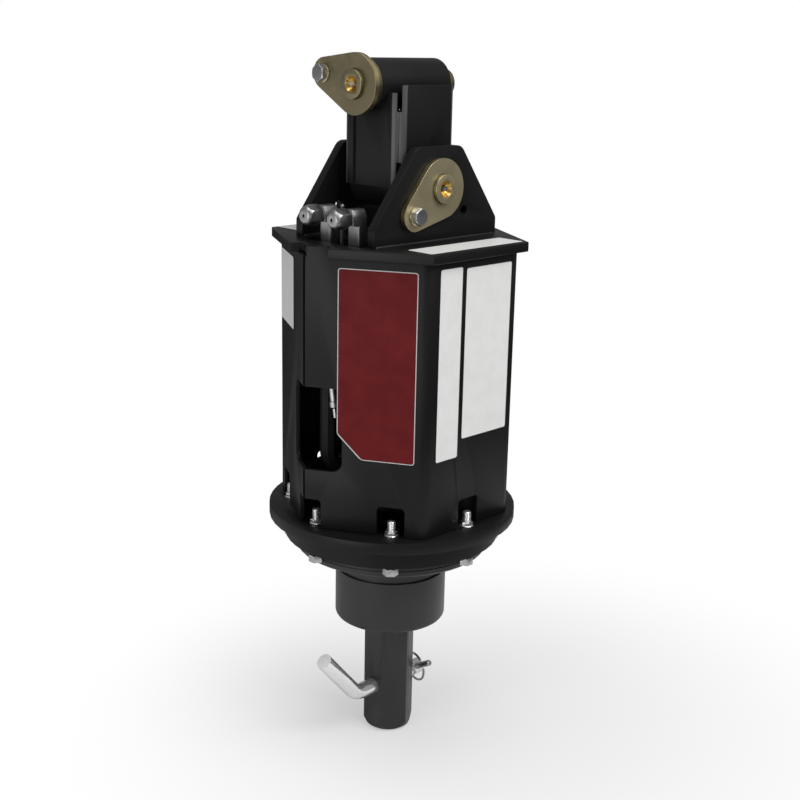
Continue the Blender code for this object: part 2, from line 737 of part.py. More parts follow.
def top_plate(parent, parts, tools):
    """Hexagonal plate that overhangs the shell, notched at its two Y corners.

    Its opening at the front has a bracket welded below it, which carries the ports.
    """
    half_side = PLATE_HALF_FLAT * tan(SHELL_SIDE / 2)
    step = SHELL_HALF_SIDE - NOTCH_HALF
    deep = NOTCH_HALF_FLAT * tan(SHELL_SIDE / 2)
    points = []
    for half in (0, pi):
        points += [
            face_point(FRONT_FACE + half, -deep, NOTCH_HALF_FLAT),
            face_point(FRONT_FACE + half, -step, NOTCH_HALF_FLAT),
            face_point(FRONT_FACE + half, -step, PLATE_HALF_FLAT),
            face_point(FRONT_FACE + half, half_side, PLATE_HALF_FLAT),
            face_point(half, half_side, PLATE_HALF_FLAT),
            face_point(-FRONT_FACE + half, step, PLATE_HALF_FLAT),
            face_point(-FRONT_FACE + half, step, NOTCH_HALF_FLAT),
        ]
    front = -ELBOW_SETBACK - PORT_OPENING_FRONT
    rear = -ELBOW_SETBACK + PORT_OPENING_REAR
    opening = [
        (-PORT_OPENING_HALF, front),
        (PORT_OPENING_HALF, front),
        (PORT_OPENING_HALF, rear),
        (-PORT_OPENING_HALF, rear),
    ]
    thing = plate("top_plate", [points, opening], PLATE_THICKNESS, "black_paint", parts, PLATE_EDGE)
    end = PORT_OPENING_HALF + BRACKET_END_LAP
    near = -ELBOW_SETBACK - BRACKET_HALF_WIDTH
    far = -ELBOW_SETBACK + BRACKET_HALF_WIDTH
    outline = [(-end, near), (end, near), (end, far), (-end, far)]
    holes = [
        circle((side * PORT_SPACING, -ELBOW_SETBACK), ELBOW_STEM_RADIUS + GAP, SMALL_STEPS)
        for side in (-1, 1)
    ]
    bracket = plate("port_bracket", [outline, *holes], BRACKET_THICKNESS, "black_paint", tools)
    middle = (PLATE_TOP + PLATE_BOTTOM) / 2
    bracket.data.transform(Matrix.Translation((0, 0, BRACKET_TOP - BRACKET_THICKNESS / 2)))
    thing.data.transform(Matrix.Translation((0, 0, middle)))
    join(thing, bracket)
    return place(thing, (0, 0, 0), (0, 0, 0), parent)


def shell_outline():
    """Plan of the half of the shell at +X: three flats with two bends."""
    def path(out, bend, end):
        side = out * tan(SHELL_SIDE / 2)
        corners = [
            face_point(FRONT_FACE, -end, out),
            face_point(FRONT_FACE, side, out),
            face_point(0, side, out),
            face_point(-FRONT_FACE, end, out),
        ]
        return rounded(corners, (0, bend, bend, 0), 5)

    end = SHELL_HALF_SIDE - SEAM_GAP / 2
    outer = path(SHELL_HALF_FLAT, SHELL_BEND, end)
    inner_end = (SHELL_HALF_FLAT - SHELL_WALL) * tan(SHELL_SIDE / 2) - SEAM_GAP / 2
    inner = path(SHELL_HALF_FLAT - SHELL_WALL, SHELL_BEND - SHELL_WALL, inner_end)
    return outer + list(reversed(inner))


def slot_tool(name, width, height, azimuth, along, tools):
    """Cutter for a slot that stands on the base and has rounded upper corners."""
    foot = BASE_TOP - OVERRUN
    head = BASE_TOP + height
    corners = ((-width / 2, foot), (width / 2, foot), (width / 2, head), (-width / 2, head))
    outline = rounded(corners, (0, 0, SLOT_CORNER, SLOT_CORNER), 3)
    depth = SHELL_WALL * 4
    tool = plate(name, [outline], depth, "dark_steel", tools)
    middle = face_point(azimuth, along, SHELL_HALF_FLAT - SHELL_WALL / 2)
    return place(tool, (*middle, 0), (QUARTER, 0, azimuth + QUARTER))


def corner_tool(name, half, low, high, corner, azimuth, rounded_foot, tools):
    """Cutter for an opening that turns the corner at +Y or -Y, each side this wide."""
    foot_radius = corner if rounded_foot else 0
    tools_made = []
    for index, turn in enumerate((1, -1)):
        face = azimuth + turn * SHELL_SIDE / 2
        inward = (SHELL_HALF_SIDE - half) * turn
        outward = (SHELL_HALF_SIDE + SHELL_WALL) * turn
        near, far = sorted((-inward, -outward))
        corners = ((near, low), (far, low), (far, high), (near, high))
        inner_first = abs(near) < abs(far)
        radii = (foot_radius, 0, 0, corner) if inner_first else (0, foot_radius, corner, 0)
        outline = rounded(corners, radii, 4)
        tool = plate(f"{name}_{index + 1}", [outline], SHELL_WALL * 4, "dark_steel", tools)
        middle = face_point(face, 0, SHELL_HALF_FLAT - SHELL_WALL / 2)
        place(tool, (*middle, 0), (QUARTER, 0, face + QUARTER))
        tools_made.append(tool)
    return tools_made


def shells(parent, parts, tools):
    """Two bent sheets, the same part used twice, with slots at the bolts and a corner window."""
    full = SHELL_HEIGHT + PLATE_THICKNESS
    middle = BASE_TOP + GAP + full / 2
    half = plate("shell_right", [shell_outline()], full, "black_paint", parts)
    place(half, (0, 0, middle), (0, 0, 0), parent)

    far = 4 * SHELL_HALF_FLAT
    rim = SHELL_TOP
    tab_end = SHELL_HALF_SIDE - NOTCH_HALF + NOTCH_RELIEF
    trims = (
        ("tab_inner_trim", -tab_end, far),
        ("tab_outer_trim", -far, -SHELL_HALF_SIDE + NOTCH_END),
    )
    for name, first, last in trims:
        tool = box(name, (-far, first, rim), (far, last, rim + far), "dark_steel", tools)
        tool.rotation_euler = (0, 0, FRONT_FACE)
        cut(half, tool)

    for index, azimuth in enumerate((FRONT_FACE, 0, -FRONT_FACE)):
        bolt_angle = round(azimuth / (2 * pi / BOLT_COUNT)) * 2 * pi / BOLT_COUNT
        along = BOLT_CIRCLE * sin(bolt_angle - azimuth)
        name = f"bolt_slot_{index + 1}"
        cut(half, slot_tool(name, SLOT_WIDTH, SLOT_HEIGHT, azimuth, along, tools))
    for name, azimuth in (("front", -QUARTER), ("rear", QUARTER)):
        low = BASE_TOP - OVERRUN
        high = BASE_TOP + SLOT_HEIGHT
        for tool in corner_tool(
            f"corner_slot_{name}", CORNER_SLOT_HALF, low, high, SLOT_CORNER, azimuth, False, tools
        ):
            cut(half, tool)
    settled(half)

    other = copy_of(half, "shell_left", parts)
    place(other, (0, 0, middle), (0, 0, pi), parent)
    other.data = half.data.copy()
    low = BASE_TOP + WINDOW_BOTTOM
    high = BASE_TOP + WINDOW_TOP
    windows = corner_tool("window", WINDOW_HALF, low, high, WINDOW_CORNER, -QUARTER, True, tools)
    cut(half, windows[0])
    cut(other, windows[1])


def bolt_places():
    for index in range(BOLT_COUNT):
        angle = index * 2 * pi / BOLT_COUNT
        yield index + 1, angle, (BOLT_CIRCLE * cos(angle), BOLT_CIRCLE * sin(angle), 0)


def base_flange(parent, parts):
    bore = MOTOR_PILOT_RADIUS + GAP
    holes = [circle(spot[:2], BOLT_RADIUS + GAP, SMALL_STEPS) for _, _, spot in bolt_places()]
    holes.append(circle((0, 0), bore, ROUND_STEPS))
    for spot in motor_bolt_spots():
        holes.append(circle(spot, MOTOR_BOLT_RADIUS + GAP, SMALL_STEPS))
    edge = circle((0, 0), BASE_RADIUS, LARGE_STEPS)
    thing = plate("base_flange", [edge, *holes], BASE_THICKNESS, "black_paint", parts)
    return place(thing, (0, 0, (BASE_TOP + BASE_BOTTOM) / 2), (0, 0, 0), parent)


def flange_bolts(parent, parts, tools):
    """Through bolts from below, each fused with its nut."""
    head_top = FLANGE_BOTTOM - GAP
    bolt = prism(
        "flange_bolt_1", SIDES, BOLT_FLATS, head_top - BOLT_HEAD, head_top, "bright_zinc", parts
    )
    nut_low = BASE_TOP + GAP
    nut_high = nut_low + NUT_HEIGHT
    nut = prism("flange_nut", SIDES, NUT_FLATS, nut_low, nut_high, "bright_zinc", tools)
    top = nut_high + BOLT_STUB
    shank_profile = (
        (0, top),
        (BOLT_RADIUS, top),
        (BOLT_RADIUS, head_top - BOLT_HEAD / 2),
        (0, head_top - BOLT_HEAD / 2),
    )
    shank = turned("flange_shank", shank_profile, "bright_zinc", tools, SMALL_STEPS)
    join(shank, nut)
    join(bolt, shank)
    settled(bolt)
    for index, angle, spot in bolt_places():
        thing = bolt if index == 1 else copy_of(bolt, f"flange_bolt_{index}", parts)
        place(thing, spot, (0, 0, angle), parent)


def involute(radius, base):
    """Polar angle of the involute from this base circle at this radius."""
    pressure = acos(min(1.0, base / radius))
    return tan(pressure) - pressure


def gear_outline(teeth, tip, root, widening):
    """An outline of involute teeth, one centred on +X. The widening is added at the pitch line."""
    pitch = MODULE * teeth / 2
    base = pitch * cos(PRESSURE_ANGLE)
    half = pi / (2 * teeth) + widening / (2 * pitch)
    pitch_turn = involute(pitch, base)
    flank_low = max(root, base)
    flank = []
    for share in FLANK_SHARES:
        radius = flank_low + (tip - flank_low) * share
        flank.append((radius, half + pitch_turn - involute(radius, base)))
    points = []
    for tooth in range(teeth):
        centre = tooth * 2 * pi / teeth
        rising = [(radius, centre - turn) for radius, turn in flank]
        falling = [(radius, centre + turn) for radius, turn in reversed(flank)]
        if root < base:
            low_turn = flank[0][1]
            rising.insert(0, (root, centre - low_turn))
            falling.append((root, centre + low_turn))
        for radius, turn in rising + falling:
            points.append((radius * cos(turn), radius * sin(turn)))
    return points


def gear(name, teeth, bore, low, high, parts, turn=0.0):
    tip = MODULE * (teeth / 2 + ADDENDUM_SHARE)
    root = MODULE * (teeth / 2 - DEDENDUM_SHARE)
    outline = gear_outline(teeth, tip, root, -BACKLASH / 2)
    if turn:
        outline = [
            (x * cos(turn) - y * sin(turn), x * sin(turn) + y * cos(turn)) for x, y in outline
        ]
    thing = plate(name, [outline, circle((0, 0), bore, SMALL_STEPS)], high - low, "gear_steel", parts)
    thing.data.transform(Matrix.Translation((0, 0, (low + high) / 2)))
    return thing


def ring_gear(parent, parts, tools):
    """Ring gear: a toothed body inside a bolted flange."""
    tip = MODULE * (RING_TEETH / 2 + DEDENDUM_SHARE)
    root = MODULE * (RING_TEETH / 2 - RING_ADDENDUM_SHARE)
    turn = pi / RING_TEETH
    outline = gear_outline(RING_TEETH, tip, root, BACKLASH / 2)
    outline = [
        (x * cos(turn) - y * sin(turn), x * sin(turn) + y * cos(turn)) for x, y in outline
    ]
    top = FLANGE_TOP - TOOTH_RECESS
    edge = circle((0, 0), RING_BODY_RADIUS, LARGE_STEPS)
    ring = plate("ring_gear", [edge, outline], top - RING_BOTTOM, "black_paint", parts)
    ring.data.transform(Matrix.Translation((0, 0, (top + RING_BOTTOM) / 2)))
    holes = [circle(spot[:2], BOLT_RADIUS + GAP, SMALL_STEPS) for _, _, spot in bolt_places()]
    holes.append(circle((0, 0), RING_BODY_RADIUS - RING_WALL / 4, LARGE_STEPS))
    edge = circle((0, 0), FLANGE_RADIUS, LARGE_STEPS)
    flange = plate("ring_flange", [edge, *holes], FLANGE_THICKNESS, "black_paint", tools)
    flange.data.transform(Matrix.Translation((0, 0, (FLANGE_TOP + FLANGE_BOTTOM) / 2)))
    join(ring, flange)
    return place(ring, (0, 0, 0), (0, 0, 0), parent)


def hub(parent, parts):
    """Bearing hub below the ring gear, bored for two bearings and the seal."""
    neck = HUB_RADIUS - HUB_NECK_STEP
    rim = RING_BODY_RADIUS + HUB_FLANGE_STEP
    bearing_bore = BEARING_RADIUS + GAP
    throat = JOURNAL_RADIUS + JOURNAL_STEP
    upper_seat = HUB_TOP - BEARING_INSET - BEARING_WIDTH - GAP
    lower_seat = upper_seat - BEARING_SPACING
    profile = (
        (rim, HUB_TOP),
        (rim, HUB_FLANGE_BOTTOM + BASE_EDGE),
        (rim - BASE_EDGE, HUB_FLANGE_BOTTOM),
        (neck, HUB_FLANGE_BOTTOM),
        (neck, HUB_NECK_BOTTOM),
        (HUB_RADIUS, HUB_NECK_BOTTOM),
        *arc((HUB_RADIUS - HUB_EDGE, HUB_BOTTOM + HUB_EDGE), HUB_EDGE, 0, -QUARTER, 4),
        (throat, HUB_BOTTOM),
        (throat, HUB_BOTTOM + SEAL_HEIGHT + GAP),
        (bearing_bore, HUB_BOTTOM + SEAL_HEIGHT + GAP),
        (bearing_bore, lower_seat),
        (throat, lower_seat),
        (throat, upper_seat),
        (bearing_bore, upper_seat),
        (bearing_bore, HUB_TOP),
    )
    thing = turned("hub_housing", profile, "black_paint", parts, LARGE_STEPS, True)
    place(thing, (0, 0, 0), (0, 0, 0), parent)

    inner = JOURNAL_RADIUS + GAP
    for name, top in (("upper_bearing", upper_seat + GAP + BEARING_WIDTH), ("lower_bearing", lower_seat - GAP)):
        low = top - BEARING_WIDTH
        middle_radius = (BEARING_RADIUS + inner) / 2
        groove = BEARING_GROOVE
        ring_profile = (
            (BEARING_RADIUS, top),
            (BEARING_RADIUS, low),
            (middle_radius + groove, low),
            (middle_radius + groove, low + groove),
            (middle_radius - groove, low + groove),
            (middle_radius - groove, low),
            (inner, low),
            (inner, top),
            (middle_radius - groove, top),
            (middle_radius - groove, top - groove),
            (middle_radius + groove, top - groove),
            (middle_radius + groove, top),
        )
        bearing = turned(name, ring_profile, "gear_steel", parts, ROUND_STEPS, True)
        place(bearing, (0, 0, 0), (0, 0, 0), parent)

    seal_top = HUB_BOTTOM + SEAL_HEIGHT
    seal_profile = (
        (throat - GAP, seal_top),
        (throat - GAP, HUB_BOTTOM + GAP),
        (inner + SEAL_LIP, HUB_BOTTOM + GAP),
        (inner, HUB_BOTTOM + SEAL_LIP),
        (inner, seal_top),
    )
    seal = turned("output_seal", seal_profile, "black_rubber", parts, ROUND_STEPS, True)
    place(seal, (0, 0, 0), (0, 0, 0), parent)


def output_shaft(parent, parts, tools):
    """Round journal in the hub, then the hexagonal drive end with its cross hole."""
    hex_top = HUB_BOTTOM - GAP
    corner = HEX_FLATS / 2 / HEX_COS * HEX_CORNER_SHARE
    carrier_low = CARRIER_TOP - CARRIER_THICKNESS
    profile = (
        (0, CARRIER_TOP),
        (CARRIER_RADIUS, CARRIER_TOP),
        (CARRIER_RADIUS, carrier_low),
        (JOURNAL_RADIUS, carrier_low),
        (JOURNAL_RADIUS, hex_top),
        (corner, hex_top),
        (corner, SHAFT_END + SHAFT_CHAMFER),
        (corner - SHAFT_CHAMFER_IN / 2, SHAFT_END + SHAFT_CHAMFER / 4),
        (corner - SHAFT_CHAMFER_IN, SHAFT_END),
        (0, SHAFT_END),
    )
    shaft = turned("output_shaft", profile, "black_paint", parts, LARGE_STEPS)
    low = SHAFT_END - OVERRUN
    for index in range(SIDES):
        tool = box(
            f"hex_flat_{index + 1}",
            (HEX_FLATS / 2, -HEX_FLATS, low),
            (HEX_FLATS, HEX_FLATS, hex_top + GAP / 2),
            "dark_steel",
            tools,
        )
        tool.rotation_euler = (0, 0, QUARTER + index * SHELL_SIDE)
        cut(shaft, tool)
    hole_profile = (
        (0, HEX_FLATS),
        (HITCH_RADIUS + GAP, HEX_FLATS),
        (HITCH_RADIUS + GAP, -HEX_FLATS),
        (0, -HEX_FLATS),
    )
    hole = turned("hitch_hole", hole_profile, "dark_steel", tools, SMALL_STEPS)
    place(hole, (0, 0, HITCH_Z), ALONG_Y)
    cut(shaft, hole)
    post_low = CARRIER_TOP - CARRIER_THICKNESS / 2
    post_profile = (
        (0, PLANET_TOP),
        (PLANET_POST_RADIUS, PLANET_TOP),
        (PLANET_POST_RADIUS, post_low),
        (0, post_low),
    )
    for index, spot in planet_places():
        post = turned(f"planet_post_{index}", post_profile, "gear_steel", tools, SMALL_STEPS)
        place(post, spot)
        join(shaft, post)
    place(shaft, (0, 0, 0), (0, 0, 0), parent)


def planet_places():
    for index in range(PLANET_COUNT):
        angle = index * 2 * pi / PLANET_COUNT
        yield index + 1, (PLANET_CIRCLE * cos(angle), PLANET_CIRCLE * sin(angle), 0)


def planets(output, parts):
    """Planet gears on the carrier's posts."""
    bore = PLANET_POST_RADIUS + GAP
    turn = pi / PLANET_TEETH
    planet = gear("planet_gear_1", PLANET_TEETH, bore, PLANET_BOTTOM, PLANET_TOP, parts, turn)
    for index, spot in planet_places():
        thing = planet if index == 1 else copy_of(planet, f"planet_gear_{index}", parts)
        angle = (index - 1) * 2 * pi / PLANET_COUNT
        place(thing, spot, (0, 0, angle), output)


def motor_flange_outline():
    """Oval flange: the hull of a large circle and two small ones on the X axis."""
    spread = acos((MOTOR_FLANGE_RADIUS - MOTOR_LUG_RADIUS) / MOTOR_BOLT_REACH)
    points = []
    for turn in (0, pi):
        lug = (MOTOR_BOLT_REACH * cos(turn), 0)
        points += arc(lug, MOTOR_LUG_RADIUS, turn - spread, turn + spread, 8)
        points += arc((0, 0), MOTOR_FLANGE_RADIUS, turn + spread, turn + pi - spread, 12)
    return points


def motor_bolt_spots():
    return [(-MOTOR_BOLT_REACH, 0), (MOTOR_BOLT_REACH, 0)]


def hydraulic_motor(head, rotor, parts, tools):
    """Orbit motor on the base: housing with flange and ports, rotor ring, end cover and shaft."""
    foot = BASE_TOP + GAP
    bore = MOTOR_SHAFT_RADIUS + GAP
    shaft_top = foot + MOTOR_SHAFT_RISE
    top = foot + MOTOR_BODY_HEIGHT
    flange_top = foot + MOTOR_FLANGE_THICKNESS
    spots = motor_bolt_spots()
    holes = [circle(spot, MOTOR_BOLT_RADIUS + GAP, SMALL_STEPS) for spot in spots]
    outlines = [motor_flange_outline(), *holes]
    housing = plate("motor_housing", outlines, MOTOR_FLANGE_THICKNESS, "motor_paint", parts)
    housing.data.transform(Matrix.Translation((0, 0, foot + MOTOR_FLANGE_THICKNESS / 2)))
    blend = MOTOR_BODY_RADIUS - MOTOR_NECK_RADIUS
    low = foot - MOTOR_PILOT_HEIGHT
    body_profile = (
        (0, top),
        (MOTOR_BODY_RADIUS, top),
        (MOTOR_BODY_RADIUS, flange_top + 3 * blend),
        (MOTOR_NECK_RADIUS, flange_top + 2 * blend),
        (MOTOR_NECK_RADIUS, foot + MOTOR_FLANGE_THICKNESS / 2),
        (MOTOR_PILOT_RADIUS, foot + MOTOR_FLANGE_THICKNESS / 2),
        (MOTOR_PILOT_RADIUS, low),
        (0, low),
    )
    body = turned("motor_body", body_profile, "motor_paint", tools)
    join(housing, body)
    port_z = foot + PORT_HEIGHT
    boss_profile = (
        (0, PORT_REACH),
        (PORT_BOSS_RADIUS, PORT_REACH),
        (PORT_BOSS_RADIUS, MOTOR_NECK_RADIUS / 2),
        (0, MOTOR_NECK_RADIUS / 2),
    )
    for side, name in ((-1, "left"), (1, "right")):
        boss = turned(f"port_boss_{name}", boss_profile, "motor_paint", tools, SMALL_STEPS)
        place(boss, (side * PORT_SPACING, 0, port_z), ALONG_Y)
        join(housing, boss)
    bore_profile = (
        (0, shaft_top + GAP),
        (bore, shaft_top + GAP),
        (bore, low - OVERRUN),
        (0, low - OVERRUN),
    )
    cut(housing, turned("motor_bore", bore_profile, "dark_steel", tools))
    place(housing, (0, 0, 0), (0, 0, 0), head)

    ring_low = top + GAP
    ring_high = ring_low + MOTOR_ROTOR_HEIGHT
    ring_profile = (
        (0, ring_high),
        (MOTOR_BODY_RADIUS, ring_high),
        (MOTOR_BODY_RADIUS, ring_low),
        (0, ring_low),
    )
    ring = turned("motor_rotor_ring", ring_profile, "dark_steel", parts)
    place(ring, (0, 0, 0), (0, 0, 0), head)
    cover_low = ring_high + GAP
    cover_high = cover_low + MOTOR_COVER_HEIGHT
    cover_profile = (
        (0, cover_high),
        (MOTOR_COVER_RADIUS - MOTOR_EDGE, cover_high),
        (MOTOR_COVER_RADIUS, cover_high - MOTOR_EDGE),
        (MOTOR_COVER_RADIUS, cover_low),
        (0, cover_low),
    )
    cover = turned("motor_end_cover", cover_profile, "motor_paint", parts)
    place(cover, (0, 0, 0), (0, 0, 0), head)

    shaft_profile = (
        (0, shaft_top),
        (MOTOR_SHAFT_RADIUS, shaft_top),
        (MOTOR_SHAFT_RADIUS, PLANET_TOP - PLANET_WIDTH / 2),
        (0, PLANET_TOP - PLANET_WIDTH / 2),
    )
    sun = gear_outline(
        SUN_TEETH,
        MODULE * (SUN_TEETH / 2 + ADDENDUM_SHARE),
        MODULE * (SUN_TEETH / 2 - DEDENDUM_SHARE),
        -BACKLASH / 2,
    )
    shaft = plate("sun_shaft", [sun], PLANET_WIDTH, "gear_steel", parts)
    shaft.data.transform(Matrix.Translation((0, 0, (PLANET_TOP + PLANET_BOTTOM) / 2)))
    join(shaft, turned("motor_shaft", shaft_profile, "gear_steel", tools))
    place(shaft, (0, 0, 0), (0, 0, 0), rotor)

    head_low = flange_top + GAP
    bolt = prism(
        "motor_bolt_1", SIDES, MOTOR_BOLT_FLATS, head_low, head_low + MOTOR_BOLT_HEAD,
        "dark_steel", parts,
    )
    shank_profile = (
        (0, head_low + MOTOR_BOLT_HEAD / 2),
        (MOTOR_BOLT_RADIUS, head_low + MOTOR_BOLT_HEAD / 2),
        (MOTOR_BOLT_RADIUS, BASE_BOTTOM),
        (0, BASE_BOTTOM),
    )
    join(bolt, turned("motor_bolt_shank", shank_profile, "dark_steel", tools, SMALL_STEPS))
    settled(bolt)
    for index, spot in enumerate(spots):
        thing = bolt if index == 0 else copy_of(bolt, f"motor_bolt_{index + 1}", parts)
        place(thing, (*spot, 0), (0, 0, 0), head)


def hoses(parent, parts):
    """Two hoses, each from a motor port forward and up to its bulkhead elbow."""
    foot = BASE_TOP + GAP
    port_z = foot + PORT_HEIGHT
    upper = STEM_END - GAP
    start = PORT_REACH + GAP
    rise = ELBOW_SETBACK
    bend = HOSE_BEND
    for side, name in ((-1, "return"), (1, "pressure")):
        curve = bpy.data.curves.new(f"hose_{name}", "CURVE")
        curve.dimensions = "3D"
        curve.bevel_depth = HOSE_RADIUS
        curve.bevel_resolution = 2
        curve.use_fill_caps = True
        points = [(start, port_z), (rise - bend, port_z)]
        points += arc((rise - bend, port_z + bend), bend, -QUARTER, 0, 8)[1:]
        points.append((rise, upper))
        spline = curve.splines.new("POLY")
        spline.points.add(len(points) - 1)
        for point, (out, height) in zip(spline.points, points):
            point.co = (side * PORT_SPACING, -out, height, 1)
        thing = bpy.data.objects.new(f"hose_{name}", curve)
        curve.materials.append(bpy.data.materials.get("black_rubber"))
        parts.objects.link(thing)
        place(thing, (0, 0, 0), (0, 0, 0), parent)


def ports(parent, parts, tools):
    """Bulkhead elbows that point forward from the bracket, their nuts and screwed caps."""
    centre_z = PLATE_TOP + ELBOW_RISE - ELBOW_HALF
    front = ELBOW_LEG_HALF + ELBOW_REACH
    low, high = -ELBOW_HALF, ELBOW_HALF
    shoulder = ELBOW_HALF - ELBOW_CHAMFER_DOWN
    crest = ELBOW_HALF - ELBOW_CHAMFER_IN
    outline = [
        (-ELBOW_HALF, low),
        (ELBOW_HALF, low),
        (ELBOW_HALF, shoulder),
        (crest, high),
        (-crest, high),
        (-ELBOW_HALF, shoulder),
    ]
    length = front + ELBOW_LEG_HALF
    body = plate("elbow_left", [outline], length, "dark_steel", parts)
    turn = Matrix.Rotation(QUARTER, 4, "X")
    body.data.transform(Matrix.Translation((0, ELBOW_LEG_HALF - length / 2, centre_z)) @ turn)
    leg = box(
        "elbow_leg",
        (-ELBOW_HALF, -ELBOW_LEG_HALF, BRACKET_TOP + GAP),
        (ELBOW_HALF, ELBOW_LEG_HALF, centre_z),
        "dark_steel",
        tools,
    )
    join(body, leg)
    soften(body, ELBOW_EDGE)
    stem_profile = (
        (0, PLATE_TOP),
        (ELBOW_STEM_RADIUS, PLATE_TOP),
        (ELBOW_STEM_RADIUS, STEM_END),
        (0, STEM_END),
    )
    join(body, turned("elbow_stem", stem_profile, "dark_steel", tools, SMALL_STEPS))
    settled(body)

    nut_top = BRACKET_BOTTOM - GAP
    nut_low = nut_top - BULKHEAD_HEIGHT
    nut = prism(
        "bulkhead_nut_left", SIDES, BULKHEAD_FLATS, nut_low, nut_top, "dark_steel", parts
    )
    bore = ELBOW_STEM_RADIUS + GAP
    bore_profile = (
        (0, nut_top + OVERRUN),
        (bore, nut_top + OVERRUN),
        (bore, nut_low - OVERRUN),
        (0, nut_low - OVERRUN),
    )
    cut(nut, turned("bulkhead_bore", bore_profile, "dark_steel", tools, SMALL_STEPS))
    settled(nut)

    cap_low = GAP
    hex_low = cap_low + CAP_COLLAR / 2
    cap_high = cap_low + CAP_COLLAR + CAP_LENGTH
    corner = CAP_FLATS / 2 / HEX_COS
    cap = prism("port_cap_left", SIDES, CAP_FLATS, hex_low, cap_high, "dark_steel", parts)
    dome_profile = (
        (0, cap_high - CAP_COLLAR / 4),
        (CAP_NOSE_RADIUS, cap_high - CAP_COLLAR / 4),
        (corner - CAP_COLLAR_STEP / 2, cap_high - CAP_DOME_LENGTH),
        (corner - CAP_COLLAR_STEP / 2, -OVERRUN),
        (0, -OVERRUN),
    )
    dome = turned("cap_dome", dome_profile, "dark_steel", tools, ROUND_STEPS)
    boolean(cap, dome, "INTERSECT")
    collar_radius = corner + CAP_COLLAR_STEP
    collar_profile = (
        (0, cap_low + CAP_COLLAR),
        (collar_radius, cap_low + CAP_COLLAR),
        (collar_radius, cap_low),
        (0, cap_low),
    )
    join(cap, turned("cap_collar", collar_profile, "dark_steel", tools, ROUND_STEPS))
    socket_profile = (
        (0, cap_high + OVERRUN),
        (CAP_SOCKET_RADIUS, cap_high + OVERRUN),
        (CAP_SOCKET_RADIUS, cap_high - CAP_SOCKET_DEPTH),
        (0, cap_high - CAP_SOCKET_DEPTH),
    )
    cut(cap, turned("cap_socket", socket_profile, "dark_steel", tools, SMALL_STEPS))
    settled(cap)

    for side, name in ((-1, "left"), (1, "right")):
        spot = (side * PORT_SPACING, -ELBOW_SETBACK, 0)
        elbow = body if side < 0 else copy_of(body, f"elbow_{name}", parts)
        place(elbow, spot, (0, 0, 0), parent)
        lock = nut if side < 0 else copy_of(nut, f"bulkhead_nut_{name}", parts)
        place(lock, spot, (0, 0, 0), parent)
        plug = cap if side < 0 else copy_of(cap, f"port_cap_{name}", parts)
        face = (spot[0], spot[1] - front, centre_z)
        place(plug, face, ALONG_Y, parent)


def tube_curve(name, points, radius, slot, collection, cyclic=False):
    curve = bpy.data.curves.new(name, "CURVE")
    curve.dimensions = "3D"
    curve.bevel_depth = radius
    curve.bevel_resolution = 2
    curve.use_fill_caps = True
    spline = curve.splines.new("POLY")
    spline.points.add(len(points) - 1)
    for point, spot in zip(spline.points, points):
        point.co = (*spot, 1)
    spline.use_cyclic_u = cyclic
    curve.materials.append(bpy.data.materials.get(slot))
    thing = bpy.data.objects.new(name, curve)
    collection.objects.link(thing)
    return thing


def mesh_of(thing, collection):
    """A welded mesh object in place of a curve object, with the same name and place."""
    bpy.context.view_layer.update()
    graph = bpy.context.evaluated_depsgraph_get()
    mesh = bpy.data.meshes.new_from_object(thing.evaluated_get(graph))
    shape = bmesh.new()
    shape.from_mesh(mesh)
    bmesh.ops.remove_doubles(shape, verts=shape.verts, dist=MM / 100)
    bmesh.ops.recalc_face_normals(shape, faces=shape.faces)
    shape.to_mesh(mesh)
    shape.free()
    name = thing.name
    slot = thing.data.materials[0].name
    bpy.data.objects.remove(thing, do_unlink=True)
    made = bpy.data.objects.new(name, mesh)
    mesh.name = name
    return finish(made, slot, collection)


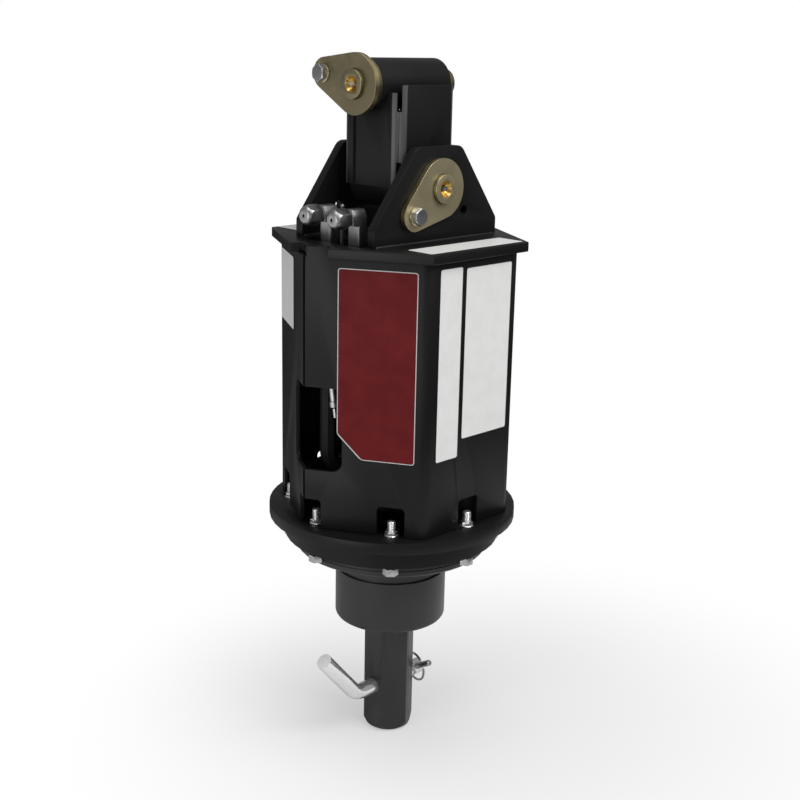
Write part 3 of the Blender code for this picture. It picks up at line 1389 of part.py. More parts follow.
def hitch_pin(parent, linch_parent, ring_parent, parts, tools):
    """Bent pin through the output shaft, its linch pin and the linch pin's ring."""
    half = HEX_FLATS / 2
    stem = half + HITCH_STEM
    up = Vector((0, 0, 1))
    out = Vector((0, -1, 0))
    centre = out * stem + up * HITCH_BEND
    points = [Vector((0, half + HITCH_TAIL, 0)), out * stem]
    for step in range(1, HITCH_BEND_STEPS + 1):
        turn = HITCH_HANDLE_RISE * step / HITCH_BEND_STEPS
        points.append(centre + (out * sin(turn) - up * cos(turn)) * HITCH_BEND)
    away = out * cos(HITCH_HANDLE_RISE) + up * sin(HITCH_HANDLE_RISE)
    points.append(points[-1] + away * HITCH_HANDLE)
    pin = tube_curve("hitch_pin", points, HITCH_RADIUS, "bright_zinc", parts)
    pin = mesh_of(pin, parts)
    linch_y = half + HITCH_TAIL - LINCH_SETBACK
    along = Vector((cos(LINCH_ANGLE), 0, sin(LINCH_ANGLE)))
    reach = 2 * HITCH_RADIUS
    hole_profile = (
        (0, reach),
        (LINCH_RADIUS + GAP, reach),
        (LINCH_RADIUS + GAP, -reach),
        (0, -reach),
    )
    hole = turned("linch_hole", hole_profile, "dark_steel", tools, SMALL_STEPS)
    linch_rotation = (0, QUARTER - LINCH_ANGLE, 0)
    place(hole, (0, linch_y, 0), linch_rotation)
    cut(pin, hole)
    settled(pin)
    place(pin, (0, 0, HITCH_Z), (0, 0, 0), parent)

    linch_profile = (
        (0, LINCH_HEAD),
        (LINCH_RADIUS - LINCH_WIRE / 2, LINCH_HEAD),
        (LINCH_RADIUS, LINCH_HEAD - LINCH_WIRE),
        (LINCH_RADIUS, LINCH_RADIUS - LINCH_TAIL),
        (0, -LINCH_TAIL),
    )
    linch = turned("linch_pin", linch_profile, "bright_zinc", parts, SMALL_STEPS)
    place(linch, (0, linch_y, HITCH_Z), linch_rotation, linch_parent)

    start = LINCH_RADIUS + GAP + LINCH_WIRE
    opening = 2 * asin(start / (2 * LINCH_RING_RADIUS))
    tilt = asin((LINCH_RADIUS + LINCH_WIRE + 2 * GAP) / (2 * LINCH_RING_RADIUS))
    inward = Vector((0, sin(tilt), 0)) - along * cos(tilt)
    side = Vector((-sin(LINCH_ANGLE), 0, cos(LINCH_ANGLE)))
    ring_points = []
    turns = 28
    for step in range(turns + 1):
        turn = opening + (2 * pi - 2 * opening) * step / turns
        reach = 1 - cos(turn)
        ring_points.append((inward * reach + side * sin(turn)) * LINCH_RING_RADIUS)
    ring = tube_curve("linch_ring", ring_points, LINCH_WIRE, "bright_zinc", parts)
    hinge = along * LINCH_RING_RADIUS
    place(ring, (hinge.x, linch_y, HITCH_Z + hinge.z), (0, 0, 0), ring_parent)


def empty(name, location, collection, parent=None):
    thing = bpy.data.objects.new(name, None)
    thing.empty_display_size = PIN_RADIUS
    thing.location = location
    thing.parent = parent
    collection.objects.link(thing)
    return thing


def main():
    clear_scene()
    parts = new_collection("earth_auger_drive")
    tools = new_collection("cutters", hidden=True)
    for slot, values in FINISHES.items():
        new_material(slot, *values)

    hanger = empty("hanger", (0, 0, 0), parts)
    link_pivot = empty("link_pivot", (0, 0, 0), parts)
    head = empty("drive_head", (0, 0, 0), parts)
    output = empty("output_axis", (0, 0, 0), parts)
    rotor = empty("motor_axis", (0, 0, 0), parts)
    hitch = empty("hitch_axis", (0, 0, 0), parts)
    linch = empty("linch_axis", (0, 0, 0), parts)
    ring = empty("ring_axis", (0, 0, 0), parts)

    lower = (0, 0, LOWER_PIN_Z)
    upper_tail = UPPER_FLAG_BACK + PIN_TAIL
    lower_tail = EAR_OUTER + PIN_TAIL
    pin_set(
        "upper", UPPER_FLAG_BACK, upper_tail, UPPER_PIVOT_HALF + GAP, UPPER_FLAG_ANGLE,
        (0, 0, 0), ALONG_Y, hanger, parts, tools,
    )
    pin_set(
        "lower", LOWER_FLAG_BACK, lower_tail, LOWER_FLAG_BACK, LOWER_FLAG_ANGLE,
        lower, ALONG_X, head, parts, tools,
    )
    link(link_pivot, parts, tools)
    ear("ear_right", 1, head, parts)
    ear("ear_left", -1, head, parts)
    top_plate(head, parts, tools)
    shells(head, parts, tools)
    base_flange(head, parts)
    flange_bolts(head, parts, tools)
    ring_gear(head, parts, tools)
    hub(head, parts)
    output_shaft(output, parts, tools)
    planets(output, parts)
    hydraulic_motor(head, rotor, parts, tools)
    hoses(head, parts)
    ports(head, parts, tools)
    hitch_pin(hitch, linch, ring, parts, tools)
    for tool in tools.objects:
        tool.hide_render = True
        tool.display_type = "WIRE"


main()
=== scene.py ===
"""The looks of an earth auger drive: its finishes, fasteners, welds, labels and stage.

Metres, +Z up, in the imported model's own frame, whose origin is the middle of the upper pin.
"""

import json
from math import atan2, cos, hypot, pi, radians, sin, sqrt

import bmesh
import bpy
from mathutils import Matrix, Vector


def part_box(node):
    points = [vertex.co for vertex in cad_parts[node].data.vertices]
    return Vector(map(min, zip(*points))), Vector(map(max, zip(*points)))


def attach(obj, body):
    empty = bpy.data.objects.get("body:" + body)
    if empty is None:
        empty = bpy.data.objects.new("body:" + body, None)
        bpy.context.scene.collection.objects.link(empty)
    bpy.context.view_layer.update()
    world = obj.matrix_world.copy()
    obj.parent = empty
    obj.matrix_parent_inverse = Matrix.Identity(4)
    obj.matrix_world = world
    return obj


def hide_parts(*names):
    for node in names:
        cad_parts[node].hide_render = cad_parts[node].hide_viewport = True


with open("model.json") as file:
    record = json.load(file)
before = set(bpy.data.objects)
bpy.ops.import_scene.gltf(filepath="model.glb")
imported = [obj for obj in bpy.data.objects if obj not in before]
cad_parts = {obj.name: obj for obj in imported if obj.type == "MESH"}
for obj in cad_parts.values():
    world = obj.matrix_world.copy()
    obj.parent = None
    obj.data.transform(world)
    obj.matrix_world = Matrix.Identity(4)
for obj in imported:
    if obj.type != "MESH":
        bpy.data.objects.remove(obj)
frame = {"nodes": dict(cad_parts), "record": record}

bl_info = {
    "name": "Earth auger drive",
    "version": (1, 0, 0),
    "blender": (4, 5, 0),
    "location": "View3D > Sidebar > Auger drive",
    "description": "Dresses the packed auger drive and sets its stage",
    "category": "Object",
}

MM = 0.001
QUARTER = pi / 2
SIDE_TURN = pi / 3
LIFT = 0.15 * MM

SHELL_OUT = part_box("shell_right")[1].x
PLATE_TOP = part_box("top_plate")[1].z
BASE_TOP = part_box("base_flange")[1].z
FLOOR_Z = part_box("output_shaft")[0].z
FADE_MIDDLE = (0.1, 0.1, FLOOR_Z)  # where the floor's own shade shows most
MIDDLE_NOISE = (0.3, 0.7)  # the values that most of a noise lies between
MERGE = MM / 100  # corners nearer than this are one
WELD_PITCH = 3.2 * MM
LINCH_TILT = radians(30)


# Shading


class Value:
    """A socket that takes part in arithmetic; each operation adds a Math node."""

    def __init__(self, graph, socket):
        self.graph = graph
        self.socket = socket

    def _math(self, operation, other):
        node = self.graph.add("ShaderNodeMath", {"operation": operation}, {0: self, 1: other})
        return Value(self.graph, node.outputs[0])

    def __add__(self, other):
        return self._math("ADD", other)

    def __sub__(self, other):
        return self._math("SUBTRACT", other)

    def __mul__(self, other):
        return self._math("MULTIPLY", other)

    def larger(self, other):
        return self._math("MAXIMUM", other)


class Graph:
    """A node tree and the few ways its nodes are added."""

    def __init__(self, tree):
        self.tree = tree

    def add(self, kind, settings=None, inputs=None):
        node = self.tree.nodes.new(kind)
        for key, value in (settings or {}).items():
            setattr(node, key, value)
        for key, value in (inputs or {}).items():
            self.feed(node.inputs[key], value)
        return node

    def feed(self, socket, value):
        value = value.socket if isinstance(value, Value) else value
        if isinstance(value, bpy.types.NodeSocket):
            self.tree.links.new(value, socket)
        elif socket.type == "RGBA" and len(value) == 3:
            socket.default_value = (*value, 1)
        else:
            socket.default_value = value

    def mixed(self, share, first, second):
        return self.add("ShaderNodeMixShader", None, {0: share, 1: first, 2: second}).outputs[0]

    def rays(self):
        """The shares of rays that show the scene itself, and of those that reflect it."""
        path = self.add("ShaderNodeLightPath").outputs
        direct = Value(self, path["Is Camera Ray"]).larger(path["Is Transmission Ray"])
        return direct, Value(self, path["Is Glossy Ray"])


class Shading(Graph):
    """A material on its object's own coordinates."""

    def __init__(self, name, **constants):
        self.material = bpy.data.materials.new(name)
        self.material.use_nodes = True
        super().__init__(self.material.node_tree)
        self.shader = self.tree.nodes["Principled BSDF"]
        for key, value in constants.items():
            self.feed(self.shader.inputs[key.replace("_", " ")], value)
        self.place = self.add("ShaderNodeTexCoord").outputs["Object"]

    def noise(self, scale, detail=2.0, stretch=(1, 1, 1), distortion=0.0):
        mapped = self.add("ShaderNodeMapping", None, {"Vector": self.place, "Scale": stretch})
        inputs = {
            "Vector": mapped.outputs[0],
            "Scale": scale,
            "Detail": detail,
            "Distortion": distortion,
        }
        return Value(self, self.add("ShaderNodeTexNoise", None, inputs).outputs[0])

    def between(self, value, low, high, to_low=0.0, to_high=1.0, kind="LINEAR"):
        inputs = {"Value": value, 1: low, 2: high, 3: to_low, 4: to_high}
        node = self.add("ShaderNodeMapRange", {"interpolation_type": kind}, inputs)
        return Value(self, node.outputs[0])

    def blend(self, factor, first, second):
        node = self.add("ShaderNodeMix", {"data_type": "RGBA"}, {0: factor, 6: first, 7: second})
        return node.outputs[2]

    def colour(self, value):
        self.feed(self.shader.inputs["Base Color"], value)

    def roughness(self, pattern, low, high, fine=None, grain=0.0):
        """Roughness from low to high by a broad pattern, with a share of a fine one."""
        value = self.between(pattern, *MIDDLE_NOISE, low, high)
        if fine:
            value = value + (fine - 0.5) * grain
        self.feed(self.shader.inputs["Roughness"], value)

    def bump(self, height, distance, strength=1.0):
        inputs = {"Height": height, "Distance": distance, "Strength": strength}
        bump = self.add("ShaderNodeBump", None, inputs)
        self.feed(self.shader.inputs["Normal"], bump.outputs[0])


FINISH_MAKERS = {}


def finish(name):
    """Registers a maker of a material under this name."""
    def keep(maker):
        FINISH_MAKERS[name] = maker
        return maker
    return keep


def material(name):
    """The finished material of this name, made on first use."""
    return bpy.data.materials.get(name) or FINISH_MAKERS[name](name).material


def tint(key):
    """A colour as it is given, or the finish setting of this name."""
    return tuple(getattr(bpy.context.scene.auger_finish, key)) if isinstance(key, str) else key


def plain(
    name, tone, first, second, rough, bump=None,
    wear=None, relief=None, window=None, grain=0.0, **constants,
):
    """Registers a finish of two clouded colours.

    tone, wear and relief are the noises of the colour, the roughness and the bumps. Wear follows
    tone, and relief follows wear, where they aren't given. window narrows the colour's noise, and
    grain adds some of the relief to the roughness.
    """
    @finish(name)
    def maker(name):
        shading = Shading(name, **constants)
        cloud = shading.noise(*tone)
        worn = shading.noise(*wear) if wear else cloud
        fine = shading.noise(*relief) if relief else worn
        share = shading.between(cloud, *window) if window else cloud
        shading.colour(shading.blend(share, tint(first), tint(second)))
        shading.roughness(worn, *rough, fine if grain else None, grain)
        if bump:
            shading.bump(fine, *bump)
        return shading


@finish("powder_coat")
def powder_coat(name):
    """Satin black powder coat: slight orange peel, faint dust on its broad faces."""
    shading = Shading(name, Specular_IOR_Level=0.2)
    broad = shading.noise(6, 3)
    fine = shading.noise(750, 2)
    dust = shading.between(broad, 0.35, 0.75)
    shading.colour(shading.blend(dust * 0.5, tint("coat"), tint("coat_dust")))
    shading.roughness(broad, 0.36, 0.46, fine, 0.05)
    peel = shading.noise(260, 2)
    shading.bump(peel + fine * 0.35, 0.00012, 0.6)
    return shading


@finish("zinc_yellow")
def zinc_yellow(name):
    """Yellow passivated plate: olive and bronze clouds, fine brushing."""
    shading = Shading(name, Metallic=1.0)
    cloud = shading.noise(28, 4, (1, 1, 1), 0.8)
    second = shading.noise(70, 3)
    share = shading.between(cloud, *MIDDLE_NOISE)
    base = shading.blend(share, tint("zinc_olive"), tint("zinc_bronze"))
    shading.colour(shading.blend(shading.between(second, 0.55, 0.8), base, tint("zinc_gold")))
    shading.roughness(second, 0.34, 0.5)
    shading.bump(shading.noise(600, 2), 0.00005, 0.5)
    return shading


@finish("floor_pale")
def floor_pale(name):
    """Pale floor: its own shade near the object, plain white for the camera farther off.

    Its reflection is white in front, and dark at the far right and back, as a studio's open side.
    """
    shading = Shading(name, Specular_IOR_Level=0.0)
    cloud = shading.noise(3, 3)
    floor = tuple(bpy.context.scene.auger_stage.floor)
    shading.colour(shading.blend(cloud, floor, (0.9, 0.9, 0.9)))
    shading.roughness(cloud, 0.85, 0.95)

    def step(value, low, high, to_low=0.0):
        return shading.between(value, low, high, to_low, 1.0, "SMOOTHSTEP")

    direct, mirrored = shading.rays()
    inputs = {0: shading.place, 1: FADE_MIDDLE}
    spread = shading.add("ShaderNodeVectorMath", {"operation": "DISTANCE"}, inputs)
    out = spread.outputs["Value"]
    split = shading.add("ShaderNodeSeparateXYZ", None, {0: shading.place}).outputs
    x, y = (Value(shading, split[axis]) for axis in "XY")
    white_share = (direct * step(out, 0.1, 0.55, 0.4)).larger(mirrored * step(y, -0.8, -1.5))
    side = step(y, -0.2, 0.1).larger(step(x + y, -0.6, -0.3))
    dark_share = side * step(out, 0.5, 0.95) * mirrored
    dark = shading.add("ShaderNodeBsdfDiffuse", None, {0: (0.05, 0.05, 0.05)}).outputs[0]
    white = shading.add("ShaderNodeEmission", None, {0: (1, 1, 1), 1: 1.0}).outputs[0]
    base = shading.mixed(dark_share, shading.shader.outputs[0], dark)
    output = shading.tree.nodes["Material Output"]
    shading.feed(output.inputs[0], shading.mixed(white_share, base, white))
    return shading


# Powder coat on the webs' bent edges, painted paler as a highlight along the bend, and glossier,
# with streaks along the bend.
plain(
    "coat_rubbed", (180, 3, (1, 1, 0.12)), (0.035, 0.035, 0.036), (0.085, 0.085, 0.087),
    (0.26, 0.4), (0.00006, 0.5), Specular_IOR_Level=0.4,
)
# Black paint on the machined hub and flanges, smoother than the shell's, and painted paler as the
# light bounced up from the floor.
plain(
    "cast_coat", (7, 3), "hub_coat_floor_lit", "coat_dust", (0.34, 0.42), (0.00008, 0.5),
    relief=(420, 3), grain=0.06, Specular_IOR_Level=0.5,
)
# Powder coat over a weld bead, a little glossier than the plates.
plain(
    "weld_coat", (160, 3), "coat", "coat_dust", (0.3, 0.42), (0.0003, 0.5),
    Specular_IOR_Level=0.35,
)
# Thin black oxide on the hex drive end, with long rolling marks; its paler clouds are partly oxide
# and partly painted light from the floor's bounce.
plain(
    "machined_coat", (9, 3), "coat", "oxide_and_floor_light", (0.3, 0.45), (0.00008, 0.5),
    wear=(130, 3, (1, 1, 0.06)), Specular_IOR_Level=0.45,
)
# Bright zinc plate on fasteners and fittings.
plain(
    "zinc_bright", (90, 3), "zinc_pale", "zinc_grey", (0.3, 0.42), (0.00003, 0.5),
    relief=(900, 2), Metallic=1.0,
)
# Bright plate on the flange nuts and studs, painted paler than the bolt heads as a highlight.
plain(
    "zinc_nut", (120, 3), (0.9, 0.9, 0.9), (0.72, 0.72, 0.73), (0.2, 0.32), (0.00003, 0.4),
    Metallic=0.9,
)
# Top faces of the flag bolts' heads, rougher, and painted darker than their sides as shade.
plain(
    "zinc_face", (120, 3), (0.2, 0.2, 0.205), (0.27, 0.27, 0.275), (0.36, 0.46), (0.00003, 0.4),
    Metallic=0.9,
)
# Pale yellow plate on the flag bolts' washers.
plain(
    "zinc_washer", (120, 3), (0.5, 0.44, 0.3), (0.62, 0.56, 0.4), (0.24, 0.36), (0.00003, 0.5),
    Metallic=1.0,
)
# Faces of the lower flag and pin that look along +X, painted paler yellow as the light falling on
# them.
plain(
    "zinc_side", (28, 4, (1, 1, 1), 0.8), (0.4, 0.35, 0.22), (0.46, 0.4, 0.25), (0.4, 0.52),
    (0.00005, 0.5), wear=(70, 3), relief=(600, 2), Metallic=0.8,
)
# Edges of the pins and flags, painted bright yellow as a highlight.
plain(
    "zinc_rim", (90, 3), (0.36, 0.3, 0.16), (0.56, 0.46, 0.25), (0.3, 0.42), (0.00003, 0.5),
    Metallic=1.0,
)
# Golden plate in the pins' grease recesses, where it stays thick.
plain(
    "zinc_gold", (220, 3), (0.5, 0.31, 0.08), (0.68, 0.47, 0.15), (0.22, 0.34), (0.00004, 0.5),
    Metallic=1.0,
)
# Polished plate on the bent pin, with faint draw marks.
plain(
    "chrome_bright", (60, 3), (0.95, 0.95, 0.95), (0.88, 0.88, 0.885), (0.12, 0.16),
    (0.000004, 0.2), wear=(300, 2), Metallic=0.85,
)
# The sawn end of the bent pin, plated but duller than its length.
plain(
    "chrome_end", (90, 2), (0.95, 0.95, 0.95), (0.88, 0.88, 0.88), (0.3, 0.4), (0.00002, 0.3),
    Metallic=0.2,
)
# Polished dark plate on the port caps.
plain(
    "cap_steel", (70, 3), (0.3, 0.3, 0.305), (0.42, 0.42, 0.425), (0.3, 0.4), (0.00004, 0.5),
    relief=(700, 2), grain=0.05, Metallic=1.0,
)
# Front faces of the elbows, painted paler than the rest as a highlight, with upright brush marks.
plain(
    "steel_brushed", (900, 3, (1, 1, 0.03)), (0.34, 0.34, 0.345), (0.6, 0.6, 0.6),
    (0.34, 0.48), (0.00004, 0.5), Metallic=1.0,
)
# Dark plated fittings.
plain(
    "steel_dark", (60, 3), "fitting", "fitting_pale", (0.26, 0.42), (0.00006, 0.5),
    relief=(500, 3), Metallic=0.9,
)
# Ground gear steel with a trace of oil.
plain(
    "steel_ground", (240, 2, (1, 1, 8)), (0.42, 0.42, 0.43), (0.55, 0.55, 0.55), (0.2, 0.34),
    (0.00003, 0.4), Metallic=1.0,
)
# Plain bearing bronze, slightly browned.
plain(
    "bush_bronze", (50, 4), (0.5, 0.33, 0.13), (0.3, 0.18, 0.08), (0.28, 0.48), (0.00005, 0.5),
    relief=(400, 2), Metallic=1.0,
)
# Cloth-marked hose rubber.
plain(
    "rubber_black", (40, 3), (0.005, 0.005, 0.005), (0.012, 0.012, 0.0115), (0.6, 0.8),
    (0.0001, 0.7), wear=(900, 2, (1, 1, 0.4)), Specular_IOR_Level=0.3,
)
# Cast housing under black paint; also the black painted as shade in the web's groove, in the cap
# sockets and on the arc behind the far slot.
plain(
    "motor_black", (180, 4), (0.02, 0.02, 0.021), (0.04, 0.04, 0.041), (0.4, 0.6),
    (0.0004, 0.6), Specular_IOR_Level=0.4,
)
# Blank white vinyl label, a little scuffed.
plain(
    "label_white", (60, 4), "label", (0.74, 0.74, 0.73), (0.3, 0.4), (0.00005, 0.3),
    relief=(200, 2), window=(0.4, 0.8),
)
# Pale printed line round the red panel.
plain("label_pale", (80, 3), (0.5, 0.5, 0.5), (0.58, 0.58, 0.58), (0.3, 0.4))
# Printed black border.
plain("label_black", (80, 3), (0.012, 0.012, 0.012), (0.03, 0.03, 0.03), (0.35, 0.45))
# Printed red vinyl, three quarters as bright in its deeper clouds.
plain(
    "label_red", (50, 4), "label_red", "label_deep", (0.42, 0.52), (0.00005, 0.3),
    relief=(200, 2), window=(0.35, 0.75), Specular_IOR_Level=0.12,
)

SLOT_FINISHES = {
    "black_paint": "powder_coat",
    "yellow_zinc": "zinc_yellow",
    "bright_zinc": "zinc_bright",
    "dark_steel": "steel_dark",
    "gear_steel": "steel_ground",
    "bronze": "bush_bronze",
    "black_rubber": "rubber_black",
    "motor_paint": "motor_black",
}
SLOT_OF_NODE = {row["node"]: row["material_slot"] for row in frame["record"]["subparts"]}
BODY_OF_NODE = {
    node: body
    for body, nodes in frame["record"]["behaviour"]["bodies"].items() for node in nodes
}
PIN_AXES = (("upper", Vector((0, -1, 0))), ("lower", Vector((1, 0, 0))))


# Making pieces


def deselect():
    if bpy.context.object and bpy.context.object.mode != "OBJECT":
        bpy.ops.object.mode_set(mode="OBJECT")
    bpy.ops.object.select_all(action="DESELECT")


def pick(thing):
    deselect()
    thing.select_set(True)
    bpy.context.view_layer.objects.active = thing
    return thing


def edit(thing, mode="FACE"):
    pick(thing)
    bpy.ops.object.mode_set(mode="EDIT")
    bpy.ops.mesh.select_mode(type=mode)
    bpy.ops.mesh.select_all(action="SELECT")


def bake_place(thing):
    """Puts the object's place into its mesh."""
    pick(thing)
    bpy.ops.object.transform_apply(location=True, rotation=True, scale=True)
    return thing


def apply_all(thing):
    pick(thing)
    for modifier in list(thing.modifiers):
        bpy.ops.object.modifier_apply(modifier=modifier.name)
    return thing


def smooth(thing, angle=radians(35)):
    pick(thing)
    bpy.ops.object.shade_smooth_by_angle(angle=angle)
    return thing


def rounded_edges(thing, width, segments=2, angle=radians(30)):
    bevel = thing.modifiers.new("Edges", "BEVEL")
    bevel.width = width
    bevel.segments = segments
    bevel.limit_method = "ANGLE"
    bevel.angle_limit = angle
    bevel.use_clamp_overlap = True
    bevel.harden_normals = False
    return apply_all(thing)


def dress(thing, finish_name, body=None):
    """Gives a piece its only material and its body."""
    thing.data.materials.clear()
    thing.data.materials.append(material(finish_name))
    if body:
        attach(thing, body)
    return thing


def stands_in(thing, node, finish_name):
    """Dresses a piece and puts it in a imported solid's place."""
    dress(thing, finish_name, BODY_OF_NODE[node])
    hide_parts(node)
    return thing


def added(name, data):
    """A new object in the scene."""
    thing = bpy.data.objects.new(name, data)
    bpy.context.scene.collection.objects.link(thing)
    return thing


def sealed(thing, merge=MERGE):
    """Joins the corners that meet and turns all faces outwards."""
    edit(thing)
    bpy.ops.mesh.remove_doubles(threshold=merge)
    bpy.ops.mesh.normals_make_consistent(inside=False)
    bpy.ops.object.mode_set(mode="OBJECT")
    return thing


def named(name):
    thing = bpy.context.object
    thing.name = name
    thing.data.name = name
    return thing


def joined(things, name):
    """Several meshes made one."""
    deselect()
    for thing in things:
        thing.select_set(True)
    bpy.context.view_layer.objects.active = things[0]
    if len(things) > 1:
        bpy.ops.object.join()
    return named(name)


def turned(name, profile, steps=48):
    """A turned piece about Z from an open or closed profile of (radius, height) points."""
    mesh = bpy.data.meshes.new(name)
    shape = bmesh.new()
    points = [shape.verts.new((radius, 0, height)) for radius, height in profile]
    for first, second in zip(points, points[1:]):
        shape.edges.new((first, second))
    shape.to_mesh(mesh)
    shape.free()
    thing = added(name, mesh)
    screw = thing.modifiers.new("Turn", "SCREW")
    screw.steps = steps
    screw.render_steps = steps
    screw.use_merge_vertices = True
    screw.merge_threshold = MERGE
    return sealed(apply_all(thing), MERGE / 2)


def scaled(*points):
    """Points given in millimetres."""
    return [tuple(part * MM for part in point) for point in points]


def moved(thing, matrix):
    """Turns and moves the mesh itself."""
    thing.data.transform(matrix)
    return thing


def twin(source, name, matrix):
    """A copy with its own mesh, turned and moved."""
    return moved(added(name, source.data.copy()), matrix)


def along(spot, direction):
    """A matrix that stands a piece made about +Z on this spot, along this direction."""
    turn = Vector(direction).to_track_quat("Z", "Y").to_matrix().to_4x4()
    return Matrix.Translation(Vector(spot)) @ turn


def carved(thing, tool, operation="DIFFERENCE"):
    """Cuts a piece with a closed tool, or keeps what both share, and removes the tool."""
    step = thing.modifiers.new("Carve", "BOOLEAN")
    step.operation = operation
    step.solver = "EXACT"
    step.object = tool
    apply_all(thing)
    bpy.data.objects.remove(tool, do_unlink=True)
    return thing


def skin(node, width, segments=2, finish_name=None):
    """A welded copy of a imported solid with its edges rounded, in its place."""
    source = frame["nodes"][node]
    thing = pick(added(f"{node}_skin", source.data.copy()))
    bpy.ops.mesh.customdata_custom_splitnormals_clear()
    edit(thing)
    bpy.ops.mesh.remove_doubles(threshold=MERGE)
    bpy.ops.mesh.dissolve_limited(angle_limit=radians(0.6))
    bpy.ops.object.mode_set(mode="OBJECT")
    if width:
        rounded_edges(thing, width, segments)
    smooth(thing, radians(32))
    return stands_in(thing, node, finish_name or SLOT_FINISHES[SLOT_OF_NODE[node]])


def tube(name, points, radius, sides=2, shares=None):
    """A closed mesh tube along a run of points, whose radius may take a share at each."""
    curve = bpy.data.curves.new(name, "CURVE")
    curve.dimensions = "3D"
    curve.bevel_depth = radius
    curve.bevel_resolution = sides
    curve.use_fill_caps = True
    spline = curve.splines.new("POLY")
    spline.points.add(len(points) - 1)
    for index, (point, spot) in enumerate(zip(spline.points, points)):
        point.co = (*spot, 1)
        point.radius = shares[index] if shares else 1.0
    thing = pick(added(name, curve))
    bpy.ops.object.convert(target="MESH")
    sealed(thing)
    return named(name)


def box(node):
    low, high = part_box(node)
    return Vector(low), Vector(high)


def centre(node):
    low, high = box(node)
    return (low + high) / 2


def face_matrix(azimuth, out):
    """The frame of a housing face, from the base's top: X along it, Y up, Z outwards."""
    normal = Vector((cos(azimuth), sin(azimuth), 0))
    across = Vector((-sin(azimuth), cos(azimuth), 0))
    matrix = Matrix((across, (0, 0, 1), normal)).transposed().to_4x4()
    matrix.translation = normal * out + Vector((0, 0, BASE_TOP))
    return matrix


# Fasteners


def hex_solid(name, flats, low, high, crown=True, foot=False):
    """A hexagonal head or nut about Z whose corners are turned down at its crown and foot.

    Two of its flats face along X.
    """
    deselect()
    corner = flats / sqrt(3)
    bpy.ops.mesh.primitive_cylinder_add(
        vertices=6, radius=corner, depth=high - low, location=(0, 0, (low + high) / 2)
    )
    body = bake_place(named(name))
    if max(vertex.co.x for vertex in body.data.vertices) > flats * 0.51:
        body.data.transform(Matrix.Rotation(pi / 6, 4, "Z"))
    drop = (corner - flats * 0.47) * 0.6
    rim = corner * 1.02
    profile = [(0, high)]
    profile += [(flats * 0.47, high), (rim, high - drop)] if crown else [(rim, high)]
    profile += [(rim, low + drop), (flats * 0.47, low)] if foot else [(rim, low)]
    profile += [(0, low)]
    form = turned(name + "_form", profile, 48)
    carved(body, form, "INTERSECT")
    rounded_edges(body, flats * 0.014, 2, radians(22))
    return smooth(body, radians(28))


def threaded(name, radius, low, high, pitch, chamfer=None):
    """A threaded rod about Z as a run of fine ridges, with a rounded end at the top."""
    chamfer = radius * 0.3 if chamfer is None else chamfer
    depth = pitch * 0.42
    profile = [
        (0, high),
        (radius - chamfer * 1.4, high),
        (radius - chamfer * 0.5, high - chamfer * 0.35),
        (radius, high - chamfer),
    ]
    level = high - chamfer - pitch * 0.25
    while level - pitch > low:
        profile += [
            (radius, level),
            (radius - depth, level - pitch * 0.38),
            (radius - depth, level - pitch * 0.5),
            (radius, level - pitch * 0.88),
        ]
        level -= pitch
    profile += [(radius, low), (0, low)]
    return smooth(turned(name, profile, 32), radians(50))


def recoat(thing, finish_name, wanted):
    """Gives the faces that pass a test on their corners and normal a second finish."""
    thing.data.materials.append(material(finish_name))
    index = len(thing.data.materials) - 1
    count = 0
    for face in thing.data.polygons:
        spots = [thing.data.vertices[corner].co for corner in face.vertices]
        if wanted(spots, face.normal):
            face.material_index = index
            count += 1
    if not count:
        raise RuntimeError(f"no face of {thing.name} takes {finish_name}")
    return thing


def weld_bead(name, ends, radius, body, ripple=0.1):
    """A painted weld bead from one end to the other, with four steps to each ripple."""
    first, second = (Vector(end) for end in ends)
    count = round((second - first).length / (WELD_PITCH / 4))
    spots = [first.lerp(second, index / count) for index in range(count + 1)]
    radii = []
    for index in range(count + 1):
        end = min(1.0, 0.35 + 0.2 * min(index, count - index))
        radii.append(end * (1 + ripple * cos(index * QUARTER)))
    thing = tube(name, spots, radius, shares=radii)
    smooth(thing, radians(70))
    return dress(thing, "weld_coat", body)


# Settings


def colour(name, description, *default):
    return bpy.props.FloatVectorProperty(
        name=name, description=description, subtype="COLOR", default=default, min=0, max=1
    )


def size(name, description, default, low, high):
    """A length whose default and limits are given in millimetres."""
    return bpy.props.FloatProperty(
        name=name, description=description, unit="LENGTH",
        default=default * MM, min=low * MM, max=high * MM,
    )


def power(name, description, default):
    return bpy.props.FloatProperty(
        name=name, description=description, unit="POWER", default=default, min=0, max=500
    )


